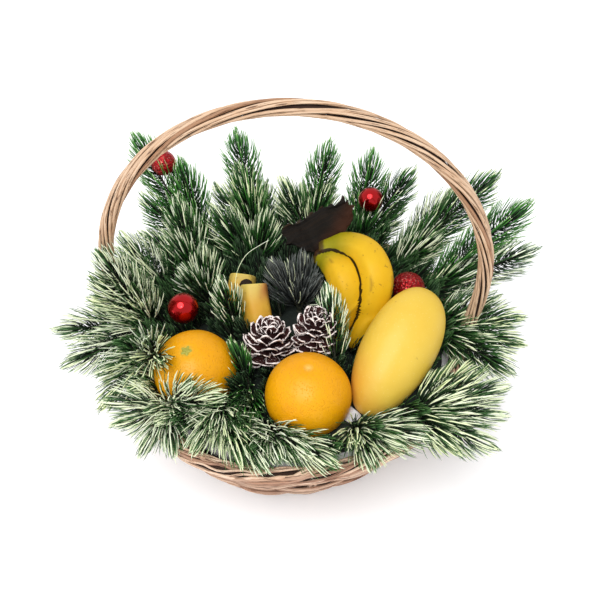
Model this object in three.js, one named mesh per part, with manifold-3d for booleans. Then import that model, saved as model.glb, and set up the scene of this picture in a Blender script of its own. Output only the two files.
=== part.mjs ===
import * as THREE from "three";
import { mergeVertices } from "three/addons/utils/BufferGeometryUtils.js";
import Module from "manifold-3d";

// A round wicker gift basket with a tall twisted handle, filled with fruit, frosted pine sprays,
// pine cones and red baubles. Millimetres, +Z up. The origin is the middle of the basket's foot,
// on the ground. The handle stands along X, and the front of the basket faces -Y.

// Wicker basket
const footRadius = 108;
const wallTopRadius = 169;
const wallHeight = 110;
const wallCurve = 0.75;
const wallThickness = 7;
const footRingWidth = 13;
const floorThickness = 8;
const weaveRows = 5;
const weaveRidge = 1.6;
const weaveWave = 1.8;
const stakeCount = 18;
const rimRadius = 169;
const rimHeight = 118;
const rimTube = 8;
const rimTwist = 1.4;
const rimWaves = 14;

// Twisted arch handle
const handleHalfSpan = 180;
const handleSpringHeight = 200;
const handleRise = 182;
const handleTube = 7.4;
const handleFootTube = 5;
const handleTaper = 36;
const handleFootHeight = 112;
const handleStrands = 5;
const handleStrandRelief = 0.6;
const handlePitch = 310;

// Filling
const fillRadius = 160;
const paperTop = 117;
const paperCrease = 4;
const bedRadius = 153;
const bedBottom = 98;
const bedMiddleHeight = 127;
const bedRingRadius = 138;
const bedRingHeight = 134;
const bedRingTilt = 8;

// Fruit
const orangeRadius = 40;
const orangeSquash = 0.97;
const orangeDimple = 0.05;
const mangoLength = 136;
const mangoRadius = 35;
const mangoFlatness = 0.86;
const mangoBluntness = 0.92;
const mangoSwell = 0.1;
const bananaRadius = 18;
const smallBananaRadius = 14.5;
const bananaNeck = 0.55;
const cutNeck = 0.9;
const bananaTip = 0.3;
const bananaEdge = 0.03;
const stalkDepth = 9;
const stalkTilt = 52;

// Cones and baubles
const coneScales = 7;
const coneRings = 4;
const coneSwing = 0.15;
const capRadius = 4;
const capHeight = 5;

// Pine sprays
const needleReach = 16;
const twigRadius = 3.5;
const whorlSpikes = 3;
const sprayTiers = 2;
const sprayArch = 0.06;
const stemDepth = 24;

// Space kept between neighbouring pieces. A point of a grown shape moves out by the growth.
const gap = 0.3;
const growth = 0.45;

const wasm = await Module();
wasm.setup();

const up = new THREE.Vector3(0, 0, 1);
const point = (x, y, z) => new THREE.Vector3(x, y, z);

// A point given by its bearing in degrees from +X, its distance from the middle and its height.
function around(bearing, radius, height) {
  const angle = THREE.MathUtils.degToRad(bearing);
  return point(radius * Math.cos(angle), radius * Math.sin(angle), height);
}

// The same geometry with its shared vertices merged.
function welded(geometry) {
  geometry.deleteAttribute("normal");
  geometry.deleteAttribute("uv");
  return mergeVertices(geometry, 1e-3);
}

// A solid turned about Z from pairs of radius and height. relief(bearing, height, radius)
// gives the new radius of each vertex.
function turned(profile, sides, relief = (bearing, height, radius) => radius) {
  const outline = profile.map(([radius, height]) => new THREE.Vector2(radius, height));
  const geometry = welded(new THREE.LatheGeometry(outline, sides).rotateX(Math.PI / 2));
  const place = geometry.attributes.position;
  for (let i = 0; i < place.count; i++) {
    const radius = Math.hypot(place.getX(i), place.getY(i));
    const bearing = Math.atan2(place.getY(i), place.getX(i));
    const moved = radius > 0.01 ? relief(bearing, place.getZ(i), radius) / radius : 1;
    place.setXY(i, place.getX(i) * moved, place.getY(i) * moved);
  }
  return geometry;
}

// Bends a solid that stands on Z so that its axis follows a curve. Its X side turns away from
// the vector across.
function bentAlong(geometry, curve, length, across) {
  const place = geometry.attributes.position;
  for (let i = 0; i < place.count; i++) {
    const along = THREE.MathUtils.clamp(place.getZ(i) / length, 0, 1);
    const ahead = curve.getTangentAt(along);
    const side = across.clone().cross(ahead).normalize();
    const other = ahead.clone().cross(side);
    const moved = curve.getPointAt(along);
    moved.addScaledVector(side, place.getX(i)).addScaledVector(other, place.getY(i));
    place.setXYZ(i, moved.x, moved.y, moved.z);
  }
  return geometry;
}

// Turns a solid from standing on Z to standing on the given direction, and moves it to a place.
function standing(geometry, direction, place) {
  const turn = new THREE.Quaternion().setFromUnitVectors(up, direction.clone().normalize());
  return geometry.applyQuaternion(turn).translate(place.x, place.y, place.z);
}

// The geometry as a manifold solid.
function solidOf(geometry) {
  const vertProperties = new Float32Array(geometry.attributes.position.array);
  const triVerts = new Uint32Array(geometry.index.array);
  return new wasm.Manifold(new wasm.Mesh({ numProp: 3, vertProperties, triVerts }));
}

// The geometry grown outwards by the gap, as the room that neighbours leave free.
function roomOf(geometry) {
  const grown = geometry.clone();
  grown.computeVertexNormals();
  const place = grown.attributes.position;
  const normal = grown.attributes.normal;
  for (let i = 0; i < place.count; i++) {
    place.setXYZ(
      i,
      place.getX(i) + normal.getX(i) * growth,
      place.getY(i) + normal.getY(i) * growth,
      place.getZ(i) + normal.getZ(i) * growth,
    );
  }
  grown.deleteAttribute("normal");
  return solidOf(grown);
}

const joined = (solids) => solids.reduce((whole, next) => whole.add(next));

function boxesMeet(one, other) {
  const a = one.boundingBox();
  const b = other.boundingBox();
  return [0, 1, 2].every((axis) => a.min[axis] < b.max[axis] && b.min[axis] < a.max[axis]);
}

const group = new THREE.Group();
const rooms = [];

// Adds one named piece made of one or more shapes. What already stands there is cut out of it
// with the gap, and loose scraps are dropped.
function addPiece(name, look, shapes) {
  let body = joined(shapes.map(solidOf));
  for (const room of rooms) {
    if (boxesMeet(body, room)) {
      body = body.subtract(room);
    }
  }
  const parts = body.decompose().sort((a, b) => b.volume() - a.volume());
  const mesh = parts[0].getMesh();
  const geometry = new THREE.BufferGeometry();
  geometry.setAttribute("position", new THREE.BufferAttribute(mesh.vertProperties, 3));
  geometry.setIndex(new THREE.BufferAttribute(mesh.triVerts, 1));
  const [color, roughness, metalness] = look;
  const piece = new THREE.Mesh(geometry, new THREE.MeshStandardMaterial({ color, roughness, metalness }));
  piece.name = name;
  group.add(piece);
  rooms.push(joined([...shapes.map(solidOf), ...shapes.map(roomOf)]));
}

const looks = {
  wicker: ["#c9a488", 0.7, 0],
  paper: ["#f2efe9", 0.8, 0],
  moss: ["#25392f", 0.9, 0],
  pine: ["#7fa283", 0.75, 0],
  orange: ["#f79a12", 0.45, 0],
  mango: ["#f3c145", 0.4, 0],
  banana: ["#f5c32c", 0.5, 0],
  cone: ["#4a2520", 0.8, 0],
  bauble: ["#b3121f", 0.2, 0.3],
};

const wallRadius = (height) =>
  footRadius + (wallTopRadius - footRadius) * Math.pow(height / wallHeight, wallCurve);

// The floor is a flat woven disc.
function basketFloor() {
  const disc = new THREE.Shape().absarc(0, 0, footRadius - footRingWidth - 2 * gap, 0, 2 * Math.PI);
  const depth = floorThickness;
  return welded(new THREE.ExtrudeGeometry(disc, { depth, curveSegments: 18, bevelEnabled: false }));
}

// The wall is a bowl of woven rows, each running over one stake and under the next.
function basketWall() {
  const rowHeight = wallHeight / weaveRows;
  const profile = [[footRadius - footRingWidth, 0], [footRadius - 2, 0]];
  for (let row = 0; row < weaveRows; row++) {
    const middle = (row + 0.5) * rowHeight;
    const seam = (row + 1) * rowHeight;
    profile.push([wallRadius(middle) + weaveRidge, middle]);
    profile.push([wallRadius(seam) - weaveRidge, seam]);
  }
  const innerHeights = [wallHeight, 40, floorThickness + 1];
  innerHeights.forEach((height) => profile.push([wallRadius(height) - wallThickness, height]));
  profile.push([footRadius - footRingWidth, floorThickness + 1], profile[0]);
  const waves = stakeCount / 2;
  return turned(profile, 2 * stakeCount, (bearing, height, radius) => {
    const row = Math.round(height / rowHeight - 0.5);
    const onRidge = radius > wallRadius(height) && height > 1;
    return onRidge ? radius + weaveWave * Math.cos(waves * bearing + row * Math.PI) : radius;
  });
}

// The border is a thick roll of rods laid round the top of the wall.
function basketRim() {
  const sides = 5;
  const profile = [];
  for (let i = 0; i <= sides; i++) {
    const angle = (2 * Math.PI * i) / sides;
    profile.push([rimRadius + rimTube * Math.cos(angle), rimHeight + rimTube * Math.sin(angle)]);
  }
  return turned(profile, 3 * rimWaves, (bearing, height, radius) => {
    const angle = Math.atan2(height - rimHeight, radius - rimRadius);
    return radius + rimTwist * Math.cos(2 * angle - rimWaves * bearing) * Math.cos(angle);
  });
}

// The handle is an arch of twisted strands, thinner where its feet go into the border.
function arch() {
  const lean = rimRadius;
  const points = [
    point(-lean, 0, handleFootHeight),
    point(-lean - 1, 0, handleFootHeight + rimTube + 6),
    point(-(lean + handleHalfSpan) / 2 - 2, 0, (handleFootHeight + handleSpringHeight) / 2),
  ];
  const steps = 16;
  for (let i = 0; i <= steps; i++) {
    const angle = Math.PI * (1 - i / steps);
    const x = handleHalfSpan * Math.cos(angle);
    points.push(point(x, 0, handleSpringHeight + handleRise * Math.sin(angle)));
  }
  points.push(...points.slice(0, 3).reverse().map(({ x, z }) => point(-x, 0, z)));
  const curve = new THREE.CatmullRomCurve3(points, false, "centripetal");
  const length = curve.getLength();
  const steady = 26;
  const profile = [[0, 0]];
  for (let i = 0; i <= steady; i++) {
    const along = (length * i) / steady;
    const fromFoot = Math.min(along, length - along);
    const grow = THREE.MathUtils.smoothstep(fromFoot, 0, handleTaper);
    profile.push([handleFootTube + (handleTube - handleFootTube) * grow, along]);
  }
  profile.push([0, length]);
  const strands = turned(profile, 2 * handleStrands, (bearing, height, radius) => (
    radius + handleStrandRelief * Math.cos(handleStrands * bearing)
  ));
  const place = strands.attributes.position;
  for (let i = 0; i < place.count; i++) {
    const twist = (-2 * Math.PI * place.getZ(i)) / handlePitch;
    const turnedPoint = point(place.getX(i), place.getY(i), place.getZ(i)).applyAxisAngle(up, twist);
    place.setXYZ(i, turnedPoint.x, turnedPoint.y, turnedPoint.z);
  }
  return bentAlong(strands, curve, length, point(0, 1, 0));
}

// A round fruit with a shallow dimple at its stem end.
function roundFruit(radius, sides) {
  const rings = 8;
  const profile = [];
  for (let i = 0; i <= rings; i++) {
    const angle = (Math.PI * i) / rings;
    const dimple = i === rings ? orangeDimple * radius : 0;
    profile.push([radius * Math.sin(angle), -orangeSquash * radius * Math.cos(angle) - dimple]);
  }
  profile[0][0] = 0;
  profile[rings][0] = 0;
  return turned(profile, sides);
}

// The mango is broad at its stem end, slimmer at its tip, and a little flat.
function mango() {
  const rings = 10;
  const profile = [];
  for (let i = 0; i <= rings; i++) {
    const angle = (Math.PI * i) / rings;
    const along = -Math.cos(angle);
    const girth = Math.pow(Math.sin(angle), mangoBluntness) * (1 + mangoSwell * along);
    profile.push([i % rings === 0 ? 0 : mangoRadius * girth, 0.5 * mangoLength * along]);
  }
  return turned(profile, 12).scale(1, mangoFlatness, 1);
}

// A banana is a curved finger with five soft edges, from its neck to its tip.
function banana(points, radius, neck) {
  const curve = new THREE.CatmullRomCurve3(points, false, "centripetal");
  const length = curve.getLength();
  const rings = 8;
  const profile = [[0, 0]];
  for (let i = 0; i <= rings; i++) {
    const along = i / rings;
    const body = Math.pow(Math.sin(Math.PI * (0.1 + 0.86 * along)), 0.45);
    const slim = Math.max(body, along < 0.4 ? neck : 0);
    profile.push([i === rings ? bananaTip * radius : radius * slim, length * along]);
  }
  profile.push([0, length]);
  const edges = (bearing, height, reach) => reach * (1 + bananaEdge * Math.cos(4 * bearing));
  return bentAlong(turned(profile, 8, edges), curve, length, point(0.3, 0.2, 1).normalize());
}

// The dried stalk at the head of the hand, flat and torn along its top edge.
function bananaStalk() {
  const outline = [
    [-30, 8], [-21, 12], [-11, 16], [0, 23], [11, 29], [25, 31], [30, 42], [33, 32],
    [41, 31], [38, 17], [33, 9], [27, 0], [17, -11], [6, -17], [-8, -14], [-25, -9],
  ];
  const shape = new THREE.Shape(outline.map(([x, y]) => new THREE.Vector2(x, y)));
  const slab = new THREE.ExtrudeGeometry(shape, {
    depth: stalkDepth, bevelSize: 1.5, bevelThickness: 2, bevelSegments: 1,
  });
  return welded(slab.rotateX(THREE.MathUtils.degToRad(stalkTilt))).translate(14, 68, 193);
}

// A pine cone of open scales in rings, widest a third of the way up.
function pineCone(radius, height) {
  const rings = coneRings;
  const profile = [[0, 0], [0.35 * radius, 0]];
  for (let ring = 0; ring < rings; ring++) {
    const along = (ring + 0.5) / rings;
    const reach = radius * Math.pow(Math.sin(Math.PI * (0.22 + 0.68 * along)), 0.8);
    profile.push([reach, height * (along + 0.02)]);
    profile.push([0.5 * reach, height * (along + 0.15)]);
  }
  profile.push([0, height * 1.05]);
  return turned(profile, 2 * coneScales, (bearing, at, reach) => {
    const ring = Math.floor((at / height) * rings);
    return reach * (1 + coneSwing * Math.cos(coneScales * bearing + ring * Math.PI));
  }).translate(0, 0, -0.45 * height);
}

// A bauble with the small cap that its wire goes through.
function bauble(radius) {
  const rings = 7;
  const profile = [];
  const last = Math.PI - Math.asin(capRadius / radius);
  for (let i = 0; i <= rings; i++) {
    const angle = (last * i) / rings;
    profile.push([i === 0 ? 0 : radius * Math.sin(angle), -radius * Math.cos(angle)]);
  }
  const top = profile[rings][1] + capHeight;
  profile.push([capRadius, top], [0, top]);
  return turned(profile, 8);
}

// One spray: a bent twig in tiers of forward-pointing needles, each tier with a few tufts.
function spray(root, tip) {
  const length = root.distanceTo(tip);
  const middle = root.clone().lerp(tip, 0.5).add(point(0, 0, sprayArch * length));
  const curve = new THREE.QuadraticBezierCurve3(root, middle, tip);
  const step = (length - 0.6 * needleReach) / sprayTiers;
  const profile = [[0, 0], [needleReach, 0.75 * step]];
  for (let tier = 1; tier < sprayTiers; tier++) {
    profile.push([0.5 * needleReach, step * tier], [0.94 * needleReach, step * (tier + 0.75)]);
  }
  profile.push([0, length]);
  const needles = turned(profile, 2 * whorlSpikes, (bearing, at, reach) => {
    const tier = Math.floor(at / step - 0.5);
    const tuft = Math.cos(whorlSpikes * bearing + tier * Math.PI) > 0;
    return tuft || reach < 0.6 * needleReach ? reach : 0.66 * reach;
  });
  const reference = Math.abs(tip.z - root.z) > 0.8 * length ? point(1, 0, 0) : up;
  return bentAlong(needles, curve, length, reference);
}

// A pick: sprays that spread from one stem, which is pushed down into the filling.
function pick(root, tips) {
  const foot = root.clone().sub(point(0, 0, stemDepth));
  const stem = turned([[0, 0], [twigRadius, 0], [twigRadius, stemDepth], [0, stemDepth + 4]], 6);
  return [stem.translate(foot.x, foot.y, foot.z), ...tips.map((tip) => spray(root, tip))];
}

// The green bed under the fruit. It rises to a ring near the border, higher at the back.
function pineBed() {
  const top = [
    [bedRadius, bedRingHeight - 16], [bedRadius - 3, bedRingHeight - 6],
    [bedRingRadius, bedRingHeight], [bedRingRadius - 20, bedRingHeight - 6],
    [80, bedMiddleHeight - 4], [0, bedMiddleHeight + 2],
  ];
  const bed = turned([[0, bedBottom], [bedRadius - 14, bedBottom], ...top], 14);
  const place = bed.attributes.position;
  for (let i = 0; i < place.count; i++) {
    const bearing = Math.atan2(place.getY(i), place.getX(i));
    const radius = Math.hypot(place.getX(i), place.getY(i));
    if (place.getZ(i) > bedBottom + 1 && radius > 1) {
      const tuft = 2 * Math.cos(9 * bearing + 0.5 * radius);
      const tilt = bedRingTilt * Math.sin(bearing) * (radius / bedRadius);
      place.setZ(i, place.getZ(i) + tuft + tilt);
    }
  }
  return bed;
}

// Crumpled white tissue paper fills the basket under and round the bed.
function paperFilling() {
  const clear = wallThickness + 2 * gap;
  const profile = [[0, floorThickness + 2]];
  [floorThickness + 2, 45, wallHeight].forEach((height) => {
    profile.push([Math.min(wallRadius(height) - clear - 1, fillRadius), height]);
  });
  [158, 151].forEach((radius, ring) => {
    profile.push([radius, paperTop + paperCrease * (ring % 2 ? 1 : -0.5)]);
  });
  profile.push([0, paperTop]);
  const paper = turned(profile, 16);
  const place = paper.attributes.position;
  for (let i = 0; i < place.count; i++) {
    const bearing = Math.atan2(place.getY(i), place.getX(i));
    const radius = Math.hypot(place.getX(i), place.getY(i));
    const crease = place.getZ(i) > wallHeight + 1 && radius > 1 ? paperCrease : 0;
    place.setZ(i, place.getZ(i) + crease * Math.sin(7 * bearing + 0.3 * radius) * 0.7);
  }
  return paper;
}

addPiece("basket_floor", looks.wicker, [basketFloor()]);
addPiece("basket_wall", looks.wicker, [basketWall()]);
addPiece("handle", looks.wicker, [arch()]);
addPiece("basket_rim", looks.wicker, [basketRim()]);

const stemUp = point(0, 0.02, 1);
addPiece("orange_front", looks.orange, [
  standing(roundFruit(orangeRadius, 14), stemUp, point(18, -99.5, 142.5)),
]);
addPiece("orange_left", looks.orange, [
  standing(roundFruit(orangeRadius - 0.5, 14), point(-0.12, -0.2, 0.97), point(-91, -70, 136)),
]);

const mangoAxis = point(62.6, 104.5, 60).normalize();
addPiece("mango", looks.mango, [standing(mango(), mangoAxis, point(100, -53, 155))]);

const outerBanana = [
  point(24, 52, 188), point(48, 51, 194), point(67, 40, 195), point(78, 18, 190),
  point(78, 6, 172), point(73, -3, 152), point(63, -14, 135), point(55, -20, 122),
];
const innerBanana = [
  point(22, 50, 183), point(40, 34, 184), point(49, 14, 182), point(50, 3, 166),
  point(45, -7, 150), point(39, -14, 136), point(34, -18, 124),
];
addPiece("banana_hand", looks.banana, [
  bananaStalk(),
  banana(outerBanana, bananaRadius, bananaNeck),
  banana(innerBanana, bananaRadius - 1, bananaNeck),
]);
addPiece("banana_left_front", looks.banana, [
  banana(
    [point(-42, 18, 170), point(-40.5, 8, 159.5), point(-36.5, -4, 146), point(-32, -14, 134)],
    smallBananaRadius, cutNeck,
  ),
]);
addPiece("banana_left_back", looks.banana, [
  banana(
    [point(-56, 43, 159), point(-57, 34, 151), point(-59, 24, 142), point(-60, 14, 134)],
    smallBananaRadius, cutNeck,
  ),
]);

addPiece("cone_left", looks.cone, [
  standing(pineCone(25.5, 31), point(0.05, 0.26, 0.96), point(-22, -44, 151.5)),
]);
addPiece("cone_right", looks.cone, [
  standing(pineCone(22.5, 36), point(0.12, 0.1, 0.98), point(22.5, -40, 166)),
]);

const baubles = [
  ["bauble_back_left", 13.5, point(-149, 143, 226)],
  ["bauble_left", 15.5, point(-110, -10, 160)],
  ["bauble_back_right", 13.5, point(75, 138, 190)],
  ["bauble_right", 17.5, point(114, 34, 156)],
];
baubles.forEach(([name, radius, place]) => {
  addPiece(name, looks.bauble, [standing(bauble(radius), point(0, 0.5, -1), place)]);
});

addPiece("pine_bed", looks.moss, [pineBed()]);
addPiece("paper_filling", looks.paper, [paperFilling()]);

// Each pick has the bearing, radius and height of its root and of each of its tips.
const picks = [
  ["pine_back_left", [138, 135, 134], [
    [138, 242, 245], [132, 196, 226], [134, 205, 180], [145, 208, 196],
  ]],
  ["pine_back_left_low", [149, 128, 134], [[140, 172, 200], [150, 164, 176], [151, 196, 165]]],
  ["pine_back", [112, 132, 136], [[111, 214, 230], [113, 184, 205], [120, 196, 176], [103, 188, 172]]],
  ["pine_back_inner", [118, 100, 130], [[130, 149, 190], [108, 118, 186]]],
  ["pine_back_middle", [86, 132, 136], [
    [82, 200, 220], [98, 165, 192], [80, 168, 188], [90, 190, 168],
  ]],
  ["pine_back_right", [62, 132, 136], [[68, 205, 215], [53, 197, 215], [70, 192, 172], [54, 188, 170]]],
  ["pine_right_back", [38, 130, 134], [[40, 212, 205], [32, 237, 235], [31, 172, 185], [38, 196, 165]]],
  ["pine_far_right", [18, 138, 134], [[24, 258, 215], [17, 255, 180], [22, 200, 158]]],
  ["pine_right", [0, 138, 132], [[6, 202, 160], [2, 226, 145], [354, 223, 140], [343, 217, 144]]],
  ["pine_right_front", [317, 152, 127], [
    [337, 215, 145], [324, 228, 122], [332, 222, 131], [337, 192, 156], [317, 208, 126],
  ]],
  ["pine_front_right", [297, 136, 127], [
    [291, 172, 157], [294, 189, 141], [304, 182, 140], [313, 186, 132],
  ]],
  ["pine_front", [262, 125, 125], [[284, 177, 139], [269, 172, 145], [277, 168, 148]]],
  ["pine_front_left", [238, 120, 127], [
    [244, 179, 138], [258, 176, 137], [247, 163, 154], [265, 175, 134],
  ]],
  ["pine_left_low", [224, 156, 127], [
    [230, 200, 119], [219, 201, 122], [212, 200, 129], [237, 184, 122], [245, 138, 167],
    [236, 149, 178],
  ]],
  ["pine_left_front", [198, 146, 130], [
    [212, 204, 126], [222, 151, 182], [205, 198, 142], [208, 151, 178],
  ]],
  ["pine_left", [184, 140, 132], [[187, 236, 141], [197, 227, 132], [180, 205, 155]]],
  ["pine_by_handle", [184, 142, 132], [[187, 180, 238], [189, 188, 212], [183, 166, 212]]],
  ["pine_left_back", [164, 138, 134], [[166, 210, 170], [158, 202, 178], [172, 190, 148]]],
  ["pine_left_inner", [160, 102, 130], [[150, 112, 182], [168, 118, 178]]],
  ["pine_by_left_banana", [193, 58, 130], [[182, 73, 195]]],
  ["pine_over_banana", [304, 78, 134], [[337, 34, 204]]],
  ["pine_middle", [82, 24, 130], [[125, 40, 186], [84, 40, 190], [40, 30, 178]]],
  ["pine_between_oranges", [243, 87, 128], [[256, 150, 146], [224, 81, 168]]],
];
picks.forEach(([name, root, tips]) => {
  addPiece(name, looks.pine, pick(around(...root), tips.map((tip) => around(...tip))));
});

export default group;
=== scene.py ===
import math

import bmesh
import bpy
import numpy as np
from mathutils import Matrix, Vector, noise


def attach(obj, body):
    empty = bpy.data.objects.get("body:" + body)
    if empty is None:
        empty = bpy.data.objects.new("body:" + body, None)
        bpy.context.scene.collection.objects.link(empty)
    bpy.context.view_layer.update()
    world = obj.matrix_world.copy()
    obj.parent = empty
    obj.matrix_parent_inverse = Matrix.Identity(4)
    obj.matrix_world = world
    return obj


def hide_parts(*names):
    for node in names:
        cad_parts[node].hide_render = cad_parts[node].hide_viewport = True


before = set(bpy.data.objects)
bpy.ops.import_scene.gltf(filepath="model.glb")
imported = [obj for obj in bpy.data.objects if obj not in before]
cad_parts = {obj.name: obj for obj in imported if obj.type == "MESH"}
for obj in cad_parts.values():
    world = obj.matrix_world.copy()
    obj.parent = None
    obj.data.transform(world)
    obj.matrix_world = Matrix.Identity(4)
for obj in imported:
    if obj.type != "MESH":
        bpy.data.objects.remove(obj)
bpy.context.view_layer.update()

# A wicker gift basket of fruit, frosted pine sprays, cones and baubles. Shapes are modelled in
# millimetres with the frame's axes, and become metres when a mesh is finished. The handle stands
# along X, the front faces -Y.
METRE = 0.001
GOLDEN_TURN = math.pi * (3 - math.sqrt(5))
TURN = 2 * math.pi
SEED = 12
chance = np.random.default_rng(SEED)
noise.seed_set(SEED)

# Camera
CAMERA_AIM = (5.3, 0.0, 167.4)
CAMERA_DISTANCE = 790
CAMERA_ELEVATION = 44
CAMERA_BEARING = 3.01
CAMERA_LENS = 48
CAMERA_SENSOR = 36

# Light
WORLD_LIGHT = 0.8
KEY_LIGHT = 2.1
KEY_SOFTNESS = 44
KEY_FROM = (-0.35, -0.75, 1.6)
SPARKLE_LIGHT = 0.3
SPARKLE_SOFTNESS = 7
SPARKLE_FROM = (-0.1, -0.85, 1.15)
PAINT_SHARE = 0.75
FLOOR_GLOW = 0.08

# Wicker basket
FOOT_RADIUS = 108
WALL_TOP_RADIUS = 169
WALL_HEIGHT = 110
WALL_CURVE = 0.75
WALL_THICKNESS = 7
WALL_BACKING = 1.4
WALL_ROD_GIRTH = 0.95
WALL_ROD_SPREAD = 0.55
WALL_WANDER = 3.4
WALL_RIPPLE = 2.4
LOWEST_ROD = 2.6
STAKE_COUNT = 18
STAKE_GIRTH = 1.9
STAKE_TURN = 0.016
WEAVE_ROWS = 5
WEAVE_SWING = 2.6
WEAVE_OVERLAP = 0.08
RODS_IN_ROW = 6
RIM_RADIUS = 169
RIM_HEIGHT = 118
RIM_TUBE = 8
RIM_CORE_GIRTH = 4.8
RIM_RODS = 16
RIM_ROD_GIRTH = 1.0
RIM_ROD_SPREAD = 0.6
RIM_WINDING = 4
SAG_BEARING = 245
SAG_SPREAD = 24
SAG_DEPTH = 7
SAG_BULGE = 3
FLOOR_MARGIN = 13.6
FLOOR_HEIGHT = 4.4
FLOOR_WAVE = 1.7
FLOOR_START = 8
FLOOR_RINGS = 21
FLOOR_OVERLAP = 0.06
FLOOR_RING_GIRTH = 2.1
FLOOR_SPOKES = 11
FLOOR_SPOKE_GIRTH = 1.8

# Twisted arch handle
HANDLE_HALF_SPAN = 180
HANDLE_SPRING_HEIGHT = 200
HANDLE_RISE = 182
HANDLE_TUBE = 7.4
HANDLE_FOOT_TUBE = 5
HANDLE_TAPER = 36
HANDLE_FOOT_HEIGHT = 112
HANDLE_PITCH = 310
HANDLE_STRANDS = 10
HANDLE_STRAND_GIRTH = 1.5
HANDLE_CORE_GIRTH = 3.8

# Needles and sprays
NEEDLE_LENGTH = 32
NEEDLE_WIDTH = 0.5
NEEDLE_ROOT_GIRTH = 0.62
NEEDLE_GIRTHS = {0.3: 0.9, 0.6: 1.0, 0.9: 0.8}
NEEDLE_ANGLE = 66
NEEDLE_TIP_ANGLE = 22
NEEDLE_BEND = 0.6
NEEDLE_SPACING = 0.34
NEEDLE_FLATTENING = 0.46
TIP_STRETCH = 26
TIP_NEEDLE_SHARE = 0.72
LEAN_SPREAD = 2.5
MOST_BENT = 9
LOWEST_NEEDLE = 3
PALE_EVERY = 3
EXTRA_PALE_SHARE = 0.14
# This light coat gives a needle the painted shaded green rather than the bright one.
BARE_COAT = 0.05
GREEN_COAT = 0.1
STRAY_SHARE = 0.05
STRAY_COAT = 0.7
FLOCK_WIDTH = 0.26
TWIG_RADIUS = 1.5
SPRAY_ARCH = 0.06
SPRAY_CUT = 17
STEM_GIRTH = 3.2
STEM_DEPTH = 24
FROND_FACE = np.array([0, -0.72, 0.69])
FROND_UP = np.array([0, 0.69, 0.72])
WIRE_GIRTH = 0.26
LOOSE_WIRE = [
    (-59, 3, 172), (-59, 14, 182), (-56, 22, 190), (-49, 31, 198), (-38, 38, 203), (-28, 44, 206),
]

# Bed of pine, whose height is given at its distances from the middle
BED_RADIUS = 153
BED_FOOT = 98
BED_HEIGHTS = [(0, 129), (80, 123), (118, 128), (138, 134), (150, 128), (BED_RADIUS, 118)]
BED_TILT = 8
SPRIG_COUNT = 174
SPRIG_START = 8
SPRIG_SPREAD = 138
SPRIG_CUT = 6
SPRIG_NEEDLE = 20
SPRIG_CROWD = 0.73
FRINGE_ROOT_RADIUS = 145
FRINGE_TIP_RADIUS = 172
FRINGE_NEEDLE = 24

# Fringe sprigs at the front and the back: their bearings, frost, rise and crowd of needles
FRINGES = [
    ((196, 202, 207, 212, 217, 222, 228), 0.6, 17, 0.92),
    ((18, 33, 48, 62, 75, 88, 101, 114, 128, 142, 156), 0.3, 2, 0.64),
]

# Fruit
ORANGE_RADIUS = 40
LEFT_ORANGE_RADIUS = 39.5
ORANGE_FLATNESS = 0.97
FRONT_ORANGE = (18, -99.5, 142.5)
LEFT_ORANGE = (-91, -70, 136)
MANGO_LENGTH = 136
MANGO_RADIUS = 35
MANGO_FLATNESS = 0.86
MANGO_SWELL = 0.1
MANGO_PLACE = (100, -53, 155)
MANGO_AXIS = (62.6, 104.5, 60)
BANANA_RADIUS = 18
BANANA_NECK = 0.55
BANANA_TIP = 0.34
SMALL_BANANA_RADIUS = 14.5
CREASE_WIDTH = 1.3
STALK_DEPTH = 13
STALK_TILT = 52
STALK_GRAIN = 25
STALK_PLACE = (14, 68, 193)
OUTER_BANANA = [
    (24, 52, 188), (48, 51, 194), (67, 40, 195), (78, 18, 190),
    (78, 6, 172), (73, -3, 152), (63, -14, 135), (55, -20, 122),
]
INNER_BANANA = [
    (22, 50, 183), (40, 34, 184), (49, 14, 182), (50, 3, 166),
    (45, -7, 150), (39, -14, 136), (34, -18, 124),
]
LEFT_FRONT_BANANA = [(-42, 18, 170), (-40.5, 8, 159.5), (-36.5, -4, 146), (-32, -14, 134)]
LEFT_BACK_BANANA = [(-56, 43, 159), (-57, 34, 151), (-59, 24, 142), (-60, 14, 134)]
LEFT_STUB = (-50, 18, 168)
BRUISE_START = -40 * METRE
BRUISE_END = -30 * METRE

# Tissue paper that is pushed up between the fruit, by bearing, radius and rise
PAPER_PEAKS = [(299, 123, 26), (286, 138, 15), (250, 158, 15)]
PAPER_PEAK_HEIGHT = 117
PAPER_PEAK_WIDTH = 8
PAPER_RADIUS = 158
PAPER_FOOT = 10

# Cones, and the balls that needles keep clear of in their place
CONE_SCALES = 60
LOWEST_SCALE_TURN = -16
SCALE_TURN = 84
SCALE_TURN_SPREAD = 16
SCALE_RAGGEDNESS = 0.35
LEFT_CONE = (-22, -44, 151.5)
RIGHT_CONE = (22.5, -40, 166)
CONE_BALLS = [((-22, -44, 152), 21), ((22.5, -40, 166), 19)]

# How far needles stay from what they lie against
NEEDLE_CLEARANCE = 0.9
FINGER_CLEARANCE = 0.8
HANDLE_CLEARANCE = 0.6


# Points and paths


def unit(vectors):
    """Each row scaled to length one."""
    return vectors / np.linalg.norm(vectors, axis=-1, keepdims=True)


def around(bearing, radius, height):
    """A point by its bearing in degrees from +X, its distance from the middle and its height."""
    angle = math.radians(bearing)
    return np.array([radius * math.cos(angle), radius * math.sin(angle), height])


def steady(path, count):
    """The same path with evenly spaced points."""
    run = distance_along(path)
    stations = np.linspace(0, run[-1], count)
    return np.stack([np.interp(stations, run, path[:, axis]) for axis in range(3)], axis=1)


def distance_along(path):
    return np.concatenate([[0], np.cumsum(np.linalg.norm(np.diff(path, axis=0), axis=1))])


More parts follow.
